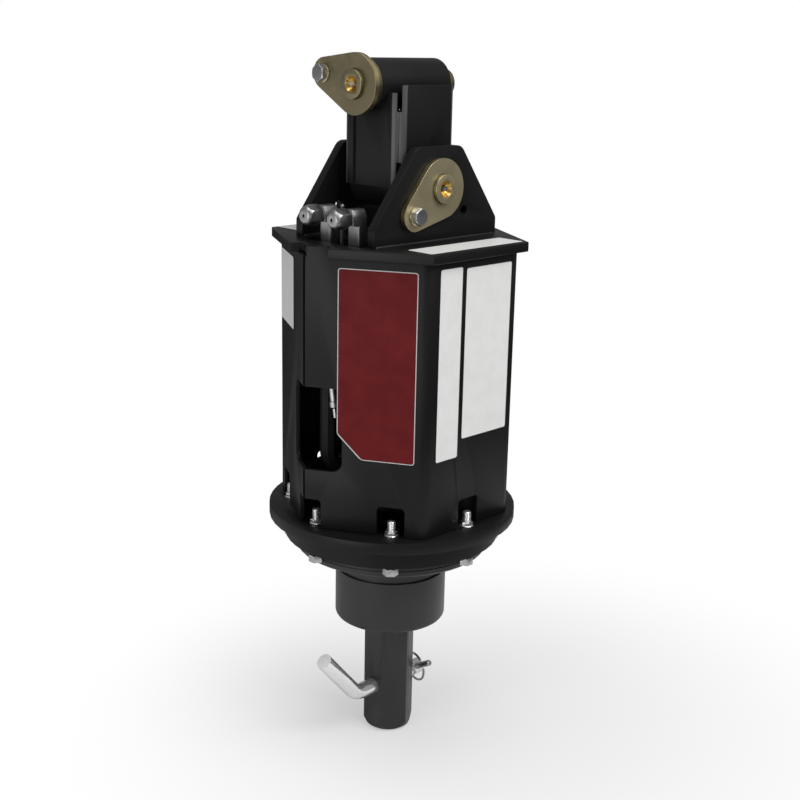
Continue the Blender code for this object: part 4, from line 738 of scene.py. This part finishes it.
class AugerFinish(bpy.types.PropertyGroup):
    """Colours of the drive's finishes."""

    coat: colour("Powder coat", "Black powder coat", 0.0065, 0.0065, 0.0068)
    # Paler than the coat: painted light standing in for the floor's bounce on the hub.
    hub_coat_floor_lit: colour("Hub paint", "Paint on the hub and gearbox", 0.014, 0.014, 0.0145)
    coat_dust: colour("Dust", "Powder coat where dust lies", 0.014, 0.014, 0.0145)
    # Partly oxide, and partly painted light from the floor's bounce on the hex shaft.
    oxide_and_floor_light: colour("Oxide", "Rolled steel under thin black", 0.03, 0.03, 0.03)
    zinc_olive: colour("Olive zinc", "Olive part of the yellow plate", 0.21, 0.185, 0.112)
    zinc_bronze: colour("Bronze zinc", "Bronze part of the yellow plate", 0.255, 0.22, 0.135)
    zinc_gold: colour("Gold zinc", "Golden part of the yellow plate", 0.34, 0.28, 0.16)
    zinc_pale: colour("Pale zinc", "Bright plate", 0.58, 0.58, 0.585)
    zinc_grey: colour("Grey zinc", "Dull part of the bright plate", 0.4, 0.4, 0.405)
    fitting: colour("Fitting", "Dark plated steel", 0.17, 0.17, 0.175)
    fitting_pale: colour("Pale fitting", "Worn part of the dark plate", 0.28, 0.28, 0.285)
    label: colour("Label", "Blank label", 0.8, 0.8, 0.79)
    label_red: colour("Red panel", "Printed red", 0.13, 0.006, 0.008)
    label_deep: colour("Deep red", "Deeper clouds of the red", 0.0975, 0.0045, 0.006)


class AugerFasteners(bpy.types.PropertyGroup):
    """Sizes of the bolts, nuts and studs."""

    head_height: size("Head height", "Height of a flange bolt's head", 8.2, 2, 20)
    nut_flats: size("Nut flats", "Width of a flange nut over its flats", 11.6, 5, 24)
    stud_radius: size("Stud radius", "Radius of a flange bolt's thread", 4.6, 2, 8)
    nut_height: size("Nut height", "Height of a flange nut", 5, 1, 20)
    flag_head: size("Flag bolt head", "Height of a flag bolt's head", 6.6, 2, 12)


class AugerLabels(bpy.types.PropertyGroup):
    """Sizes of the blank labels."""

    thickness: size("Thickness", "Thickness of a label", 0.25, 0.05, 1)
    corner: size("Corner", "Radius of a label's corners", 3, 0, 20)
    border: size("Border", "Width of a label's printed edge", 0.9, 0.1, 5)


class AugerStage(bpy.types.PropertyGroup):
    """Camera, floor and lights."""

    floor: colour("Floor", "Floor colour", 0.86, 0.86, 0.86)
    lens: bpy.props.FloatProperty(
        name="Lens", description="Focal length on a 36 mm sensor, in millimetres",
        default=57.88, min=10, max=200,
    )
    key: power("Key light", "Power of the large lamp in front", 12)
    fill: power("Fill light", "Power of the lamp at the right", 33)
    top: power("Top light", "Power of the lamp overhead", 18)


# Operators


class AUGER_OT_stage(bpy.types.Operator):
    """Camera at the photograph's angle, pale floor, soft lamps and a plain white world."""

    bl_idname = "auger.stage"
    bl_label = "Stage"

    def execute(self, context):
        stage = context.scene.auger_stage
        data = bpy.data.cameras.new("camera")
        camera = added("camera", data)
        data.sensor_width = 36
        data.lens = stage.lens
        data.clip_end = 50
        azimuth, elevation, roll = radians(-45.35), radians(15.55), radians(1.209)
        back = Vector(
            (cos(azimuth) * cos(elevation), sin(azimuth) * cos(elevation), sin(elevation))
        )
        right = Vector((-sin(azimuth), cos(azimuth), 0))
        up = back.cross(right)
        tilted = right * cos(roll) + up * sin(roll)
        top = up * cos(roll) - right * sin(roll)
        matrix = Matrix((tilted, top, back)).transposed().to_4x4()
        matrix.translation = Vector((970.0, -972.2, 41.4)) * MM
        camera.matrix_world = matrix
        context.scene.camera = camera

        deselect()
        bpy.ops.mesh.primitive_circle_add(
            vertices=64, radius=9, fill_type="NGON", location=(0, 0, FLOOR_Z - 0.5 * MM)
        )
        floor = bake_place(named("floor"))
        dress(floor, "floor_pale")

        middle = Vector((0, 0, -370 * MM))
        lamps = (
            ("key_lamp", (0.2, -2.0, -0.05), 1.35, stage.key),
            ("fill_lamp", (1.6, 0.25, 1.35), 1.4, stage.fill),
            ("top_lamp", (0.2, -0.3, 2.0), 1.6, stage.top),
        )
        for name, spot, side, watts in lamps:
            light = bpy.data.lights.new(name, "AREA")
            light.shape = "SQUARE"
            light.size = side
            light.energy = watts
            added(name, light).matrix_world = along(spot, Vector(spot) - middle)

        world = bpy.data.worlds.new("world")
        context.scene.world = world
        world.use_nodes = True
        graph = Graph(world.node_tree)
        graph.tree.nodes.clear()
        soft, white = (
            graph.add("ShaderNodeBackground", None, {0: (1, 1, 1), 1: strength}).outputs[0]
            for strength in (0.25, 1.0)
        )
        shown = graph.mixed(graph.rays()[0], soft, white)
        graph.add("ShaderNodeOutputWorld", None, {0: shown})

        context.scene.view_settings.view_transform = "Standard"
        return {"FINISHED"}


class AUGER_OT_finishes(bpy.types.Operator):
    """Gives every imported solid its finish."""

    bl_idname = "auger.finishes"
    bl_label = "Finishes"

    def execute(self, context):
        for name, thing in frame["nodes"].items():
            finish_name = SLOT_FINISHES[SLOT_OF_NODE[name]]
            if not thing.material_slots:
                raise RuntimeError(f"{name} has no material slot")
            for slot in thing.material_slots:
                slot.material = material(finish_name)
        return {"FINISHED"}


class AUGER_OT_housing(bpy.types.Operator):
    """Shell, plates, ears and flanges with rounded edges."""

    bl_idname = "auger.housing"
    bl_label = "Housing"

    def execute(self, context):
        for node in (
            "shell_right", "shell_left", "top_plate", "ear_right", "ear_left", "base_flange",
        ):
            skin(node, 0.6 * MM)
        skin("ring_gear", 0)
        # The hub's paint is painted paler, standing in for light bounced up from the floor.
        skin("hub_housing", 0, 2, "cast_coat")
        self.rings()
        gap, level = 2 * MM, PLATE_TOP + 2 * LIFT
        for name in ("right", "left"):
            low, high = box(f"ear_{name}")
            inner, outer = sorted((low.x, high.x), key=abs)
            for face, x in (("inner", inner), ("outer", outer)):
                run = [(x, low.y + gap, level), (x, high.y - gap, level)]
                weld_bead(f"ear_weld_{name}_{face}", run, 1.8 * MM, "head")
        return {"FINISHED"}

    def rings(self):
        """A cover band on the gearbox body, and a black arc inside the slot at the far side,
        standing in for the shade seen through that slot.
        """
        hub_top = box("hub_housing")[1].z
        body, thickness, chamfer = 104.1 * MM, 2.2 * MM, 0.5 * MM
        rim = body + thickness
        top = hub_top + 9.05 * MM
        foot = hub_top + 0.1 * MM
        profile = (
            (body, top), (rim - chamfer, top), (rim, top - chamfer), (rim, foot), (body, foot),
            (body, top),
        )
        band = smooth(turned("gearbox_band", profile, 128), radians(40))
        # The band takes the hub's paler paint, painted light from the floor's bounce.
        dress(band, "cast_coat", "head")
        # A black arc behind the far slot, kept only where it shows: a dark piece standing in for
        # shade.
        inner, outer, chamfer = 98 * MM, 101 * MM, 0.8 * MM
        foot, top = BASE_TOP + LIFT, BASE_TOP + 31 * MM
        profile = (
            (inner, foot), (inner, top - chamfer), (inner + chamfer, top),
            (outer - chamfer, top), (outer, top - chamfer), (outer, foot), (inner, foot),
        )
        guard = turned("bolt_guard", profile, 96)
        edit(guard)
        bpy.ops.mesh.bisect(
            plane_co=(-88 * MM, 0, 0), plane_no=(1, 0, 0), use_fill=True, clear_outer=True
        )
        bpy.ops.mesh.select_all(action="SELECT")
        bpy.ops.mesh.normals_make_consistent(inside=False)
        bpy.ops.object.mode_set(mode="OBJECT")
        smooth(guard, radians(40))
        dress(guard, "motor_black", "head")


class AUGER_OT_link(bpy.types.Operator):
    """Two-axis link with its tubes, webs, pins and flags."""

    bl_idname = "auger.link"
    bl_label = "Link"

    def execute(self, context):
        for node in ("upper_pivot_tube", "lower_pivot_tube"):
            skin(node, 0)
        for side in ("front", "rear", "right", "left"):
            # The webs' bends take a paler coat: a painted highlight along each bend.
            recoat(skin(f"link_web_{side}", 0.5 * MM), "coat_rubbed", self.on_bend)
        flags = [skin(f"{prefix}_pin_flag", 0) for prefix, _ in PIN_AXES]
        for (prefix, axis), flag in zip(PIN_AXES, flags):
            pin = skin(f"{prefix}_pin", 0.5 * MM, 3)
            face = box(f"{prefix}_pin_flag")
            front = max(face[0].dot(axis), face[1].dot(axis)) + 0.5 * MM
            # The flag's rim and the pin's front edges take a brighter plate: a painted highlight.
            recoat(flag, "zinc_rim", lambda spots, normal: abs(normal.dot(axis)) < 0.9)
            if prefix == "lower":
                # The lower flag's and pin's +X faces take a paler plate: painted light from the
                # lamp at the right.
                for thing in (flag, pin):
                    recoat(thing, "zinc_side", lambda spots, normal: normal.dot(axis) > 0.9)
            recoat(
                pin, "zinc_rim",
                lambda spots, normal: normal.dot(axis) < 0.95
                and all(spot.dot(axis) > front for spot in spots),
            )
            self.recess(prefix, axis)
        self.groove()
        self.mitres()
        return {"FINISHED"}

    def on_bend(self, spots, normal):
        """Whether a face belongs to a web's bent edge."""
        across = max(abs(normal.x), abs(normal.y))
        return abs(normal.z) < 0.3 and across < 0.99 * hypot(normal.x, normal.y)

    def recess(self, prefix, axis):
        """The golden cone round a pin's grease nipple."""
        low, high = box(f"{prefix}_pin")
        middle = (low + high) / 2
        reach = abs((high - low).dot(axis)) / 2
        face = middle + axis * reach
        profile = scaled(
            (2.7, -5.6), (3, -5.3), (4.6, -4.1), (6.3, -2.2), (7.3, -0.5), (7.9, 0.12),
            (7.95, -0.2), (7.95, -5.6), (2.7, -5.6),
        )
        cone = smooth(turned(f"{prefix}_pin_recess", profile, 48), radians(40))
        moved(cone, along(face, axis))
        dress(cone, "zinc_gold", BODY_OF_NODE[f"{prefix}_pin"])

    def groove(self):
        """The upright groove near the front web's left bend, whose faces are painted black as the
        shade inside it.
        """
        low, high = box("link_web_front")
        width, depth, setback = 5.4 * MM, 4.2 * MM, 17 * MM
        bpy.ops.mesh.primitive_cube_add(size=1)
        tool = named("groove_tool")
        extent = (width, 2 * depth, high.z - low.z + 20 * MM)
        spot = Vector((low.x + setback, low.y, (low.z + high.z) / 2))
        tool.data.transform(Matrix.Translation(spot) @ Matrix.Diagonal((*extent, 1)))
        web = bpy.data.objects["link_web_front_skin"]
        smooth(carved(web, tool), radians(32))
        # The groove's faces are painted black: painted shade in the recess.
        recoat(
            web, "motor_black",
            lambda spots, normal: all(
                abs(spot.x - low.x - setback) < width / 2 + MM / 10 for spot in spots
            ),
        )

    def mitres(self):
        """Weld beads between the bends where the four webs meet."""
        low, high = box("link_web_front")
        inset = 7.6 * MM
        width = box("link_web_right")[1].x - inset
        depth = -low.y - inset
        body = BODY_OF_NODE["link_web_front"]
        for row, y in (("front", -depth), ("rear", depth)):
            for side, x in (("right", width), ("left", -width)):
                run = [(x, y, low.z + 24 * MM), (x, y, high.z - 22 * MM)]
                weld_bead(f"link_weld_{row}_{side}", run, 3.6 * MM, body, 0.03)


class AUGER_OT_fasteners(bpy.types.Operator):
    """Flange bolts with their nuts, flag bolts, washers and grease nipples."""

    bl_idname = "auger.fasteners"
    bl_label = "Fasteners"

    def execute(self, context):
        sizes = context.scene.auger_fasteners
        low, high = box("flange_bolt_1")
        flats = high.x - low.x
        seat = low.z + sizes.head_height
        nut_foot = BASE_TOP + 2 * LIFT
        nut_top = nut_foot + sizes.nut_height
        thread, shank = sizes.stud_radius, sizes.stud_radius * 0.97
        inner, outer = sizes.nut_flats * 0.6, sizes.nut_flats * 0.64
        shank_top, shank_foot = nut_top - MM / 2, seat - MM
        collar_edge, collar_top = nut_foot + 0.6 * MM, nut_foot + 1.1 * MM
        shank_profile = ((0, shank_top), (shank, shank_top), (shank, shank_foot), (0, shank_foot))
        collar_profile = (
            (thread, collar_top), (inner, collar_top), (outer, collar_edge), (outer, nut_foot),
            (thread, nut_foot), (thread, collar_top),
        )
        parts = [
            hex_solid("flange_bolt_head", flats, low.z, seat),
            hex_solid("flange_bolt_nut", sizes.nut_flats, nut_foot, nut_top, True, True),
            threaded("flange_bolt_stud", thread, nut_top - MM, high.z, MM, 1.7 * MM),
            turned("flange_bolt_shank", shank_profile, 24),
            turned("flange_bolt_collar", collar_profile, 40),
        ]
        pattern = joined(parts, "flange_bolt_pattern")
        smooth(pattern, radians(38))
        for index in range(8):
            node = f"flange_bolt_{index + 1}"
            middle = centre(node)
            azimuth = atan2(middle.y, middle.x)
            turn = Matrix.Rotation(azimuth, 4, "Z")
            place = Matrix.Translation((middle.x, middle.y, 0)) @ turn
            piece = smooth(twin(pattern, f"{node}_threaded", place), radians(38))
            stands_in(piece, node, "zinc_nut")
            # The head's faces that don't face down take a darker plate, painted shade under the
            # flange; its downward faces keep the paler plate, a painted highlight.
            recoat(
                piece, "zinc_bright",
                lambda spots, normal: normal.z > -0.5 and all(spot.z < seat for spot in spots),
            )
        bpy.data.objects.remove(pattern, do_unlink=True)
        for prefix, axis in PIN_AXES:
            skin(f"{prefix}_flag_washer", 0.25 * MM, 2, "zinc_washer")
            skin(f"{prefix}_grease_nipple", 0)
            self.flag_bolt(prefix, axis, sizes)
        return {"FINISHED"}

    def flag_bolt(self, prefix, axis, sizes):
        """The hex head that holds a flag, with its shank into the ear or tube."""
        node = f"{prefix}_flag_bolt"
        low, high = box(node)
        middle = (low + high) / 2
        reach = (high - low).dot(Vector([abs(part) for part in axis]))
        tip = middle - axis * reach / 2
        side = high.z - low.z
        head = hex_solid(f"{node}_head", side * cos(pi / 6), reach - sizes.flag_head, reach)
        radius, chamfer = 5 * MM, 0.8 * MM
        top = reach - sizes.flag_head + MM / 2
        profile = ((0, top), (radius, top), (radius, chamfer), (radius - chamfer, 0), (0, 0))
        shank = turned(f"{node}_shank", profile, 24)
        piece = joined([head, shank], f"{node}_fine")
        smooth(piece, radians(38))
        moved(piece, along(tip, axis))
        stands_in(piece, node, "zinc_bright")
        # The head's end face is painted darker than its sides: painted shade.
        recoat(piece, "zinc_face", lambda spots, normal: normal.dot(axis) > 0.9)


class AUGER_OT_ports(bpy.types.Operator):
    """Elbows, bulkhead nuts, caps, hose ferrules and the motor's drain fitting."""

    bl_idname = "auger.ports"
    bl_label = "Ports"

    def execute(self, context):
        for name in ("left", "right"):
            elbow = skin(f"elbow_{name}", 0.35 * MM)
            # The elbow's front faces take a paler steel: a painted highlight.
            recoat(elbow, "steel_brushed", lambda spots, normal: normal.y < -0.95)
            self.cap(name)
            skin(f"bulkhead_nut_{name}", 0.3 * MM)
            self.ferrule(name)
        self.top_nipple()
        self.drain_fitting()
        return {"FINISHED"}

    def cap(self, name):
        """A domed hexagonal cap on its threaded neck at the end of an elbow."""
        node = f"port_cap_{name}"
        low, high = box(node)
        flats = 19 * MM
        corner = flats / sqrt(3)
        foot = 2.6 * MM
        nose = foot + high.y - low.y
        seat = Vector(((low.x + high.x) / 2, high.y, (low.z + high.z) / 2 - 0.8 * MM))
        body = hex_solid(f"{node}_body", flats, foot - MM, nose + MM, False)
        dome_shares = (
            (0.58, 0.0), (0.65, 0.3), (0.74, 1.2), (0.83, 2.5), (0.92, 4.3), (0.99, 6.4),
            (1.02, 8.0),
        )
        profile = [(0, nose)]
        profile += [(corner * share, nose - drop * MM) for share, drop in dome_shares]
        profile += [(corner * 1.02, foot + 1.4 * MM), (corner * 0.93, foot), (0, foot)]
        form = turned(f"{node}_form", profile, 64)
        socket = 1.7 * MM
        profile = (
            (0, nose + MM), (socket, nose + MM), (socket, nose - 8 * MM), (0, nose - 8.5 * MM),
        )
        hollow = turned(f"{node}_hollow", profile, 24)
        carved(carved(body, form, "INTERSECT"), hollow)
        rounded_edges(body, 0.35 * MM, 2, radians(25))
        neck = threaded(f"{node}_neck", 8.3 * MM, -MM, foot + 1.5 * MM, 1.5 * MM)
        piece = joined([body, neck], f"{node}_domed")
        smooth(piece, radians(30))
        moved(piece, along(seat, Vector((0, -1, 0))))
        stands_in(piece, node, "cap_steel")
        # The socket's faces are painted black: painted shade inside the hole.
        recoat(
            piece, "motor_black",
            lambda spots, normal: all(
                hypot(spot.x - seat.x, spot.z - seat.z) < socket + MM / 10 for spot in spots
            ),
        )

    def ferrule(self, name):
        """A crimped steel sleeve round the hose's upper end."""
        node = {"left": "hose_return", "right": "hose_pressure"}[name]
        low, high = box(node)
        radius = (high.x - low.x) / 2
        bore, outer = radius + LIFT, radius + 1.3 * MM
        groove, edge = outer - 0.7 * MM, 0.5 * MM
        top = high.z - 0.4 * MM
        profile = [(bore, top), (outer - 0.6 * MM, top), (outer, top - 0.6 * MM)]
        level = top - 3 * MM
        for _ in range(4):
            profile += [
                (outer, level),
                (groove, level - 0.7 * MM),
                (groove, level - 2.3 * MM),
                (outer, level - 3 * MM),
            ]
            level -= 4.6 * MM
        profile += [(outer, level), (outer - edge, level - edge), (bore, level - edge), (bore, top)]
        sleeve = smooth(turned(f"hose_ferrule_{name}", profile, 40))
        spot = Vector((centre(node).x, low.y + radius, 0))
        moved(sleeve, Matrix.Translation(spot))
        return dress(sleeve, "zinc_bright", BODY_OF_NODE[node])

    def top_nipple(self):
        """A small bleed nipple on the top plate, behind the elbows."""
        profile = scaled(
            (0, 12), (1.2, 11.8), (2.2, 10.6), (2.3, 9.4), (1.5, 8.2), (1.5, 6.6), (3.1, 6),
            (3.1, 0.4), (2.7, 0), (0, 0),
        )
        y, seat = -80 * MM, PLATE_TOP + 26 * MM
        nipple = moved(turned("bleed_nipple", profile, 28), Matrix.Translation((0, y, seat)))
        ends = [(0, y, box("top_plate")[0].z + MM), (0, y, seat + 0.4 * MM)]
        stem = tube("bleed_nipple_stem", ends, 2.1 * MM)
        for piece, finish_name in ((nipple, "steel_dark"), (stem, "motor_black")):
            dress(smooth(piece), finish_name, "head")

    def drain_fitting(self):
        """The stepped case drain fitting beside the motor, which shows in the window."""
        low, high = box("motor_end_cover")
        foot = Vector((-MM, -86 * MM, high.z - 28 * MM))
        profile = scaled(
            (0, 34), (3.2, 34), (4.1, 33), (4.1, 19), (5, 18.2), (5, 12.6), (3.4, 11.4),
            (2.4, 10.6), (2.4, 1), (0, 0.6),
        )
        body = smooth(turned("drain_fitting", profile, 32))
        moved(body, along(foot, Vector((-0.16, 0, 1))))
        dress(body, "zinc_bright", "head")
        start = foot + Vector((-2.4, 0, 15.4)) * MM
        finish_spot = Vector((0, low.y + 2 * MM, start.z))
        arm = tube("drain_arm", [start, finish_spot], 2.6 * MM)
        dress(smooth(arm, radians(50)), "motor_black", "head")


class AUGER_OT_drive(bpy.types.Operator):
    """Hex output shaft, bent pin, linch pin and its ring."""

    bl_idname = "auger.drive"
    bl_label = "Drive end"

    def execute(self, context):
        skin("output_shaft", 0.6 * MM, 3, "machined_coat")
        self.bent_pin()
        skin("linch_pin", 0.3 * MM)
        skin("linch_ring", 0)
        return {"FINISHED"}

    def bent_pin(self):
        """The bent pin with a smooth bend, broken end edges and its linch hole."""
        low, high = box("hitch_pin")
        half = high.y - 24.6 * MM
        radius, bend, stem, rise, steps = 9 * MM, 22 * MM, 17 * MM, radians(49), 24
        level = low.z + radius
        start = Vector((0, high.y, level))
        corner = Vector((0, -half - stem, level))
        middle = corner + Vector((0, 0, bend))
        points = [start, start + Vector((0, -MM, 0)), corner + Vector((0, MM, 0)), corner]
        for step in range(1, steps + 1):
            turn = rise * step / steps
            points.append(middle + Vector((0, -sin(turn), -cos(turn))) * bend)
        away = Vector((0, -cos(rise), sin(rise)))
        points.append(points[-1] + away * 65.5 * MM)
        pin = tube("hitch_pin_fine", points, radius, 14)
        linch_low, linch_high = box("linch_pin")
        lean = Vector((cos(LINCH_TILT), 0, sin(LINCH_TILT)))
        width, reach = (linch_high.y - linch_low.y) / 2 + 0.3 * MM, 30 * MM
        profile = ((0, reach), (width, reach), (width, -reach), (0, -reach))
        hole = turned("linch_hole_tool", profile, 40)
        moved(hole, along((0, centre("linch_pin").y, level), lean))
        rounded_edges(carved(pin, hole), 0.9 * MM, 3, radians(50))
        stands_in(smooth(pin, radians(32)), "hitch_pin", "chrome_bright")
        recoat(pin, "chrome_end", lambda spots, normal: normal.dot(away) > 0.95)


def label(name, place, left, right, low, high, finishes=("label_black", "label_white"), chop=0.0):
    """A thin label with round corners on a flat face, whose finishes are its edge's and its own.

    Its sides are given in millimetres. chop takes the lower left corner off at a slant.
    """
    settings = bpy.context.scene.auger_labels
    left, right, low, high = (side * MM for side in (left, right, low, high))
    insets = ((0.0, 0.0), (settings.border, settings.thickness * 0.4))
    for layer, (layer_finish, (inset, rise)) in enumerate(zip(finishes, insets)):
        deselect()
        bpy.ops.mesh.primitive_plane_add(size=1)
        thing = named(f"{name}_face" if layer else name)
        width, height = right - left - 2 * inset, high - low - 2 * inset
        thing.data.transform(Matrix.Diagonal((width, height, 1, 1)))
        edit(thing, "VERT")
        if chop:
            bpy.ops.mesh.select_all(action="DESELECT")
            mesh = bmesh.from_edit_mesh(thing.data)
            for vertex in mesh.verts:
                vertex.select = vertex.co.y < 0 and vertex.co.x < 0
            mesh.select_flush(False)
            bmesh.update_edit_mesh(thing.data)
            bpy.ops.mesh.bevel(offset=chop, segments=1, affect="VERTICES")
            bpy.ops.mesh.select_all(action="SELECT")
        radius = max(settings.corner - inset, 0.3 * MM)
        bpy.ops.mesh.bevel(offset=radius, segments=5, affect="VERTICES")
        bpy.ops.mesh.select_mode(type="FACE")
        bpy.ops.mesh.select_all(action="SELECT")
        upwards = (0, 0, settings.thickness)
        bpy.ops.mesh.extrude_region_move(TRANSFORM_OT_translate={"value": upwards})
        bpy.ops.mesh.select_all(action="SELECT")
        bpy.ops.mesh.normals_make_consistent(inside=False)
        bpy.ops.object.mode_set(mode="OBJECT")
        shift = Matrix.Translation(((left + right) / 2, (low + high) / 2, LIFT + rise))
        moved(thing, place @ shift)
        dress(thing, layer_finish, "head")


class AUGER_OT_labels(bpy.types.Operator):
    """Blank labels on the housing and its top plate."""

    bl_idname = "auger.labels"
    bl_label = "Labels"

    def execute(self, context):
        right = face_matrix(0, SHELL_OUT)
        label("label_right_narrow", right, -53.6, -19.9, 81.2, 283)
        label("label_right_wide", right, -15.4, 55.6, 99.8, 281)
        label("label_left", face_matrix(-2 * SIDE_TURN, SHELL_OUT), -57, 15, 202, 281)
        label(
            "panel_front", face_matrix(-SIDE_TURN, SHELL_OUT), -29.6, 53.5, 81, 280,
            ("label_pale", "label_red"), 26 * MM,
        )
        for side, name in ((1, "right"), (-1, "left")):
            flat = Matrix.Translation((side * 102.5 * MM, -2 * side * MM, PLATE_TOP))
            flat = flat @ Matrix.Rotation(side * QUARTER, 4, "Z")
            label(f"label_top_{name}", flat, -70, 70, -17.5, 17.5)
        return {"FINISHED"}


OPERATORS = (
    AUGER_OT_stage,
    AUGER_OT_finishes,
    AUGER_OT_housing,
    AUGER_OT_link,
    AUGER_OT_fasteners,
    AUGER_OT_ports,
    AUGER_OT_drive,
    AUGER_OT_labels,
)


class AUGER_PT_panel(bpy.types.Panel):
    """Settings and steps of the drive."""

    bl_idname = "AUGER_PT_panel"
    bl_label = "Auger drive"
    bl_space_type = "VIEW_3D"
    bl_region_type = "UI"
    bl_category = "Auger drive"

    def draw(self, context):
        for key, _ in GROUPS:
            group = getattr(context.scene, key)
            column = self.layout.column()
            for name in group.bl_rna.properties.keys():
                if name not in {"rna_type", "name"}:
                    column.prop(group, name)
        column = self.layout.column()
        for operator in OPERATORS:
            column.operator(operator.bl_idname)


GROUPS = (
    ("auger_finish", AugerFinish),
    ("auger_fasteners", AugerFasteners),
    ("auger_labels", AugerLabels),
    ("auger_stage", AugerStage),
)


def register():
    for key, group in GROUPS:
        bpy.utils.register_class(group)
        setattr(bpy.types.Scene, key, bpy.props.PointerProperty(type=group))
    for operator in OPERATORS:
        bpy.utils.register_class(operator)
    bpy.utils.register_class(AUGER_PT_panel)


def unregister():
    bpy.utils.unregister_class(AUGER_PT_panel)
    for operator in reversed(OPERATORS):
        bpy.utils.unregister_class(operator)
    for key, group in reversed(GROUPS):
        delattr(bpy.types.Scene, key)
        bpy.utils.unregister_class(group)


def main():
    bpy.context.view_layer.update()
    register()
    for operator in OPERATORS:
        group, name = operator.bl_idname.split(".")
        getattr(getattr(bpy.ops, group), name)()
    bpy.context.view_layer.update()


if __name__ == "__main__":
    main()
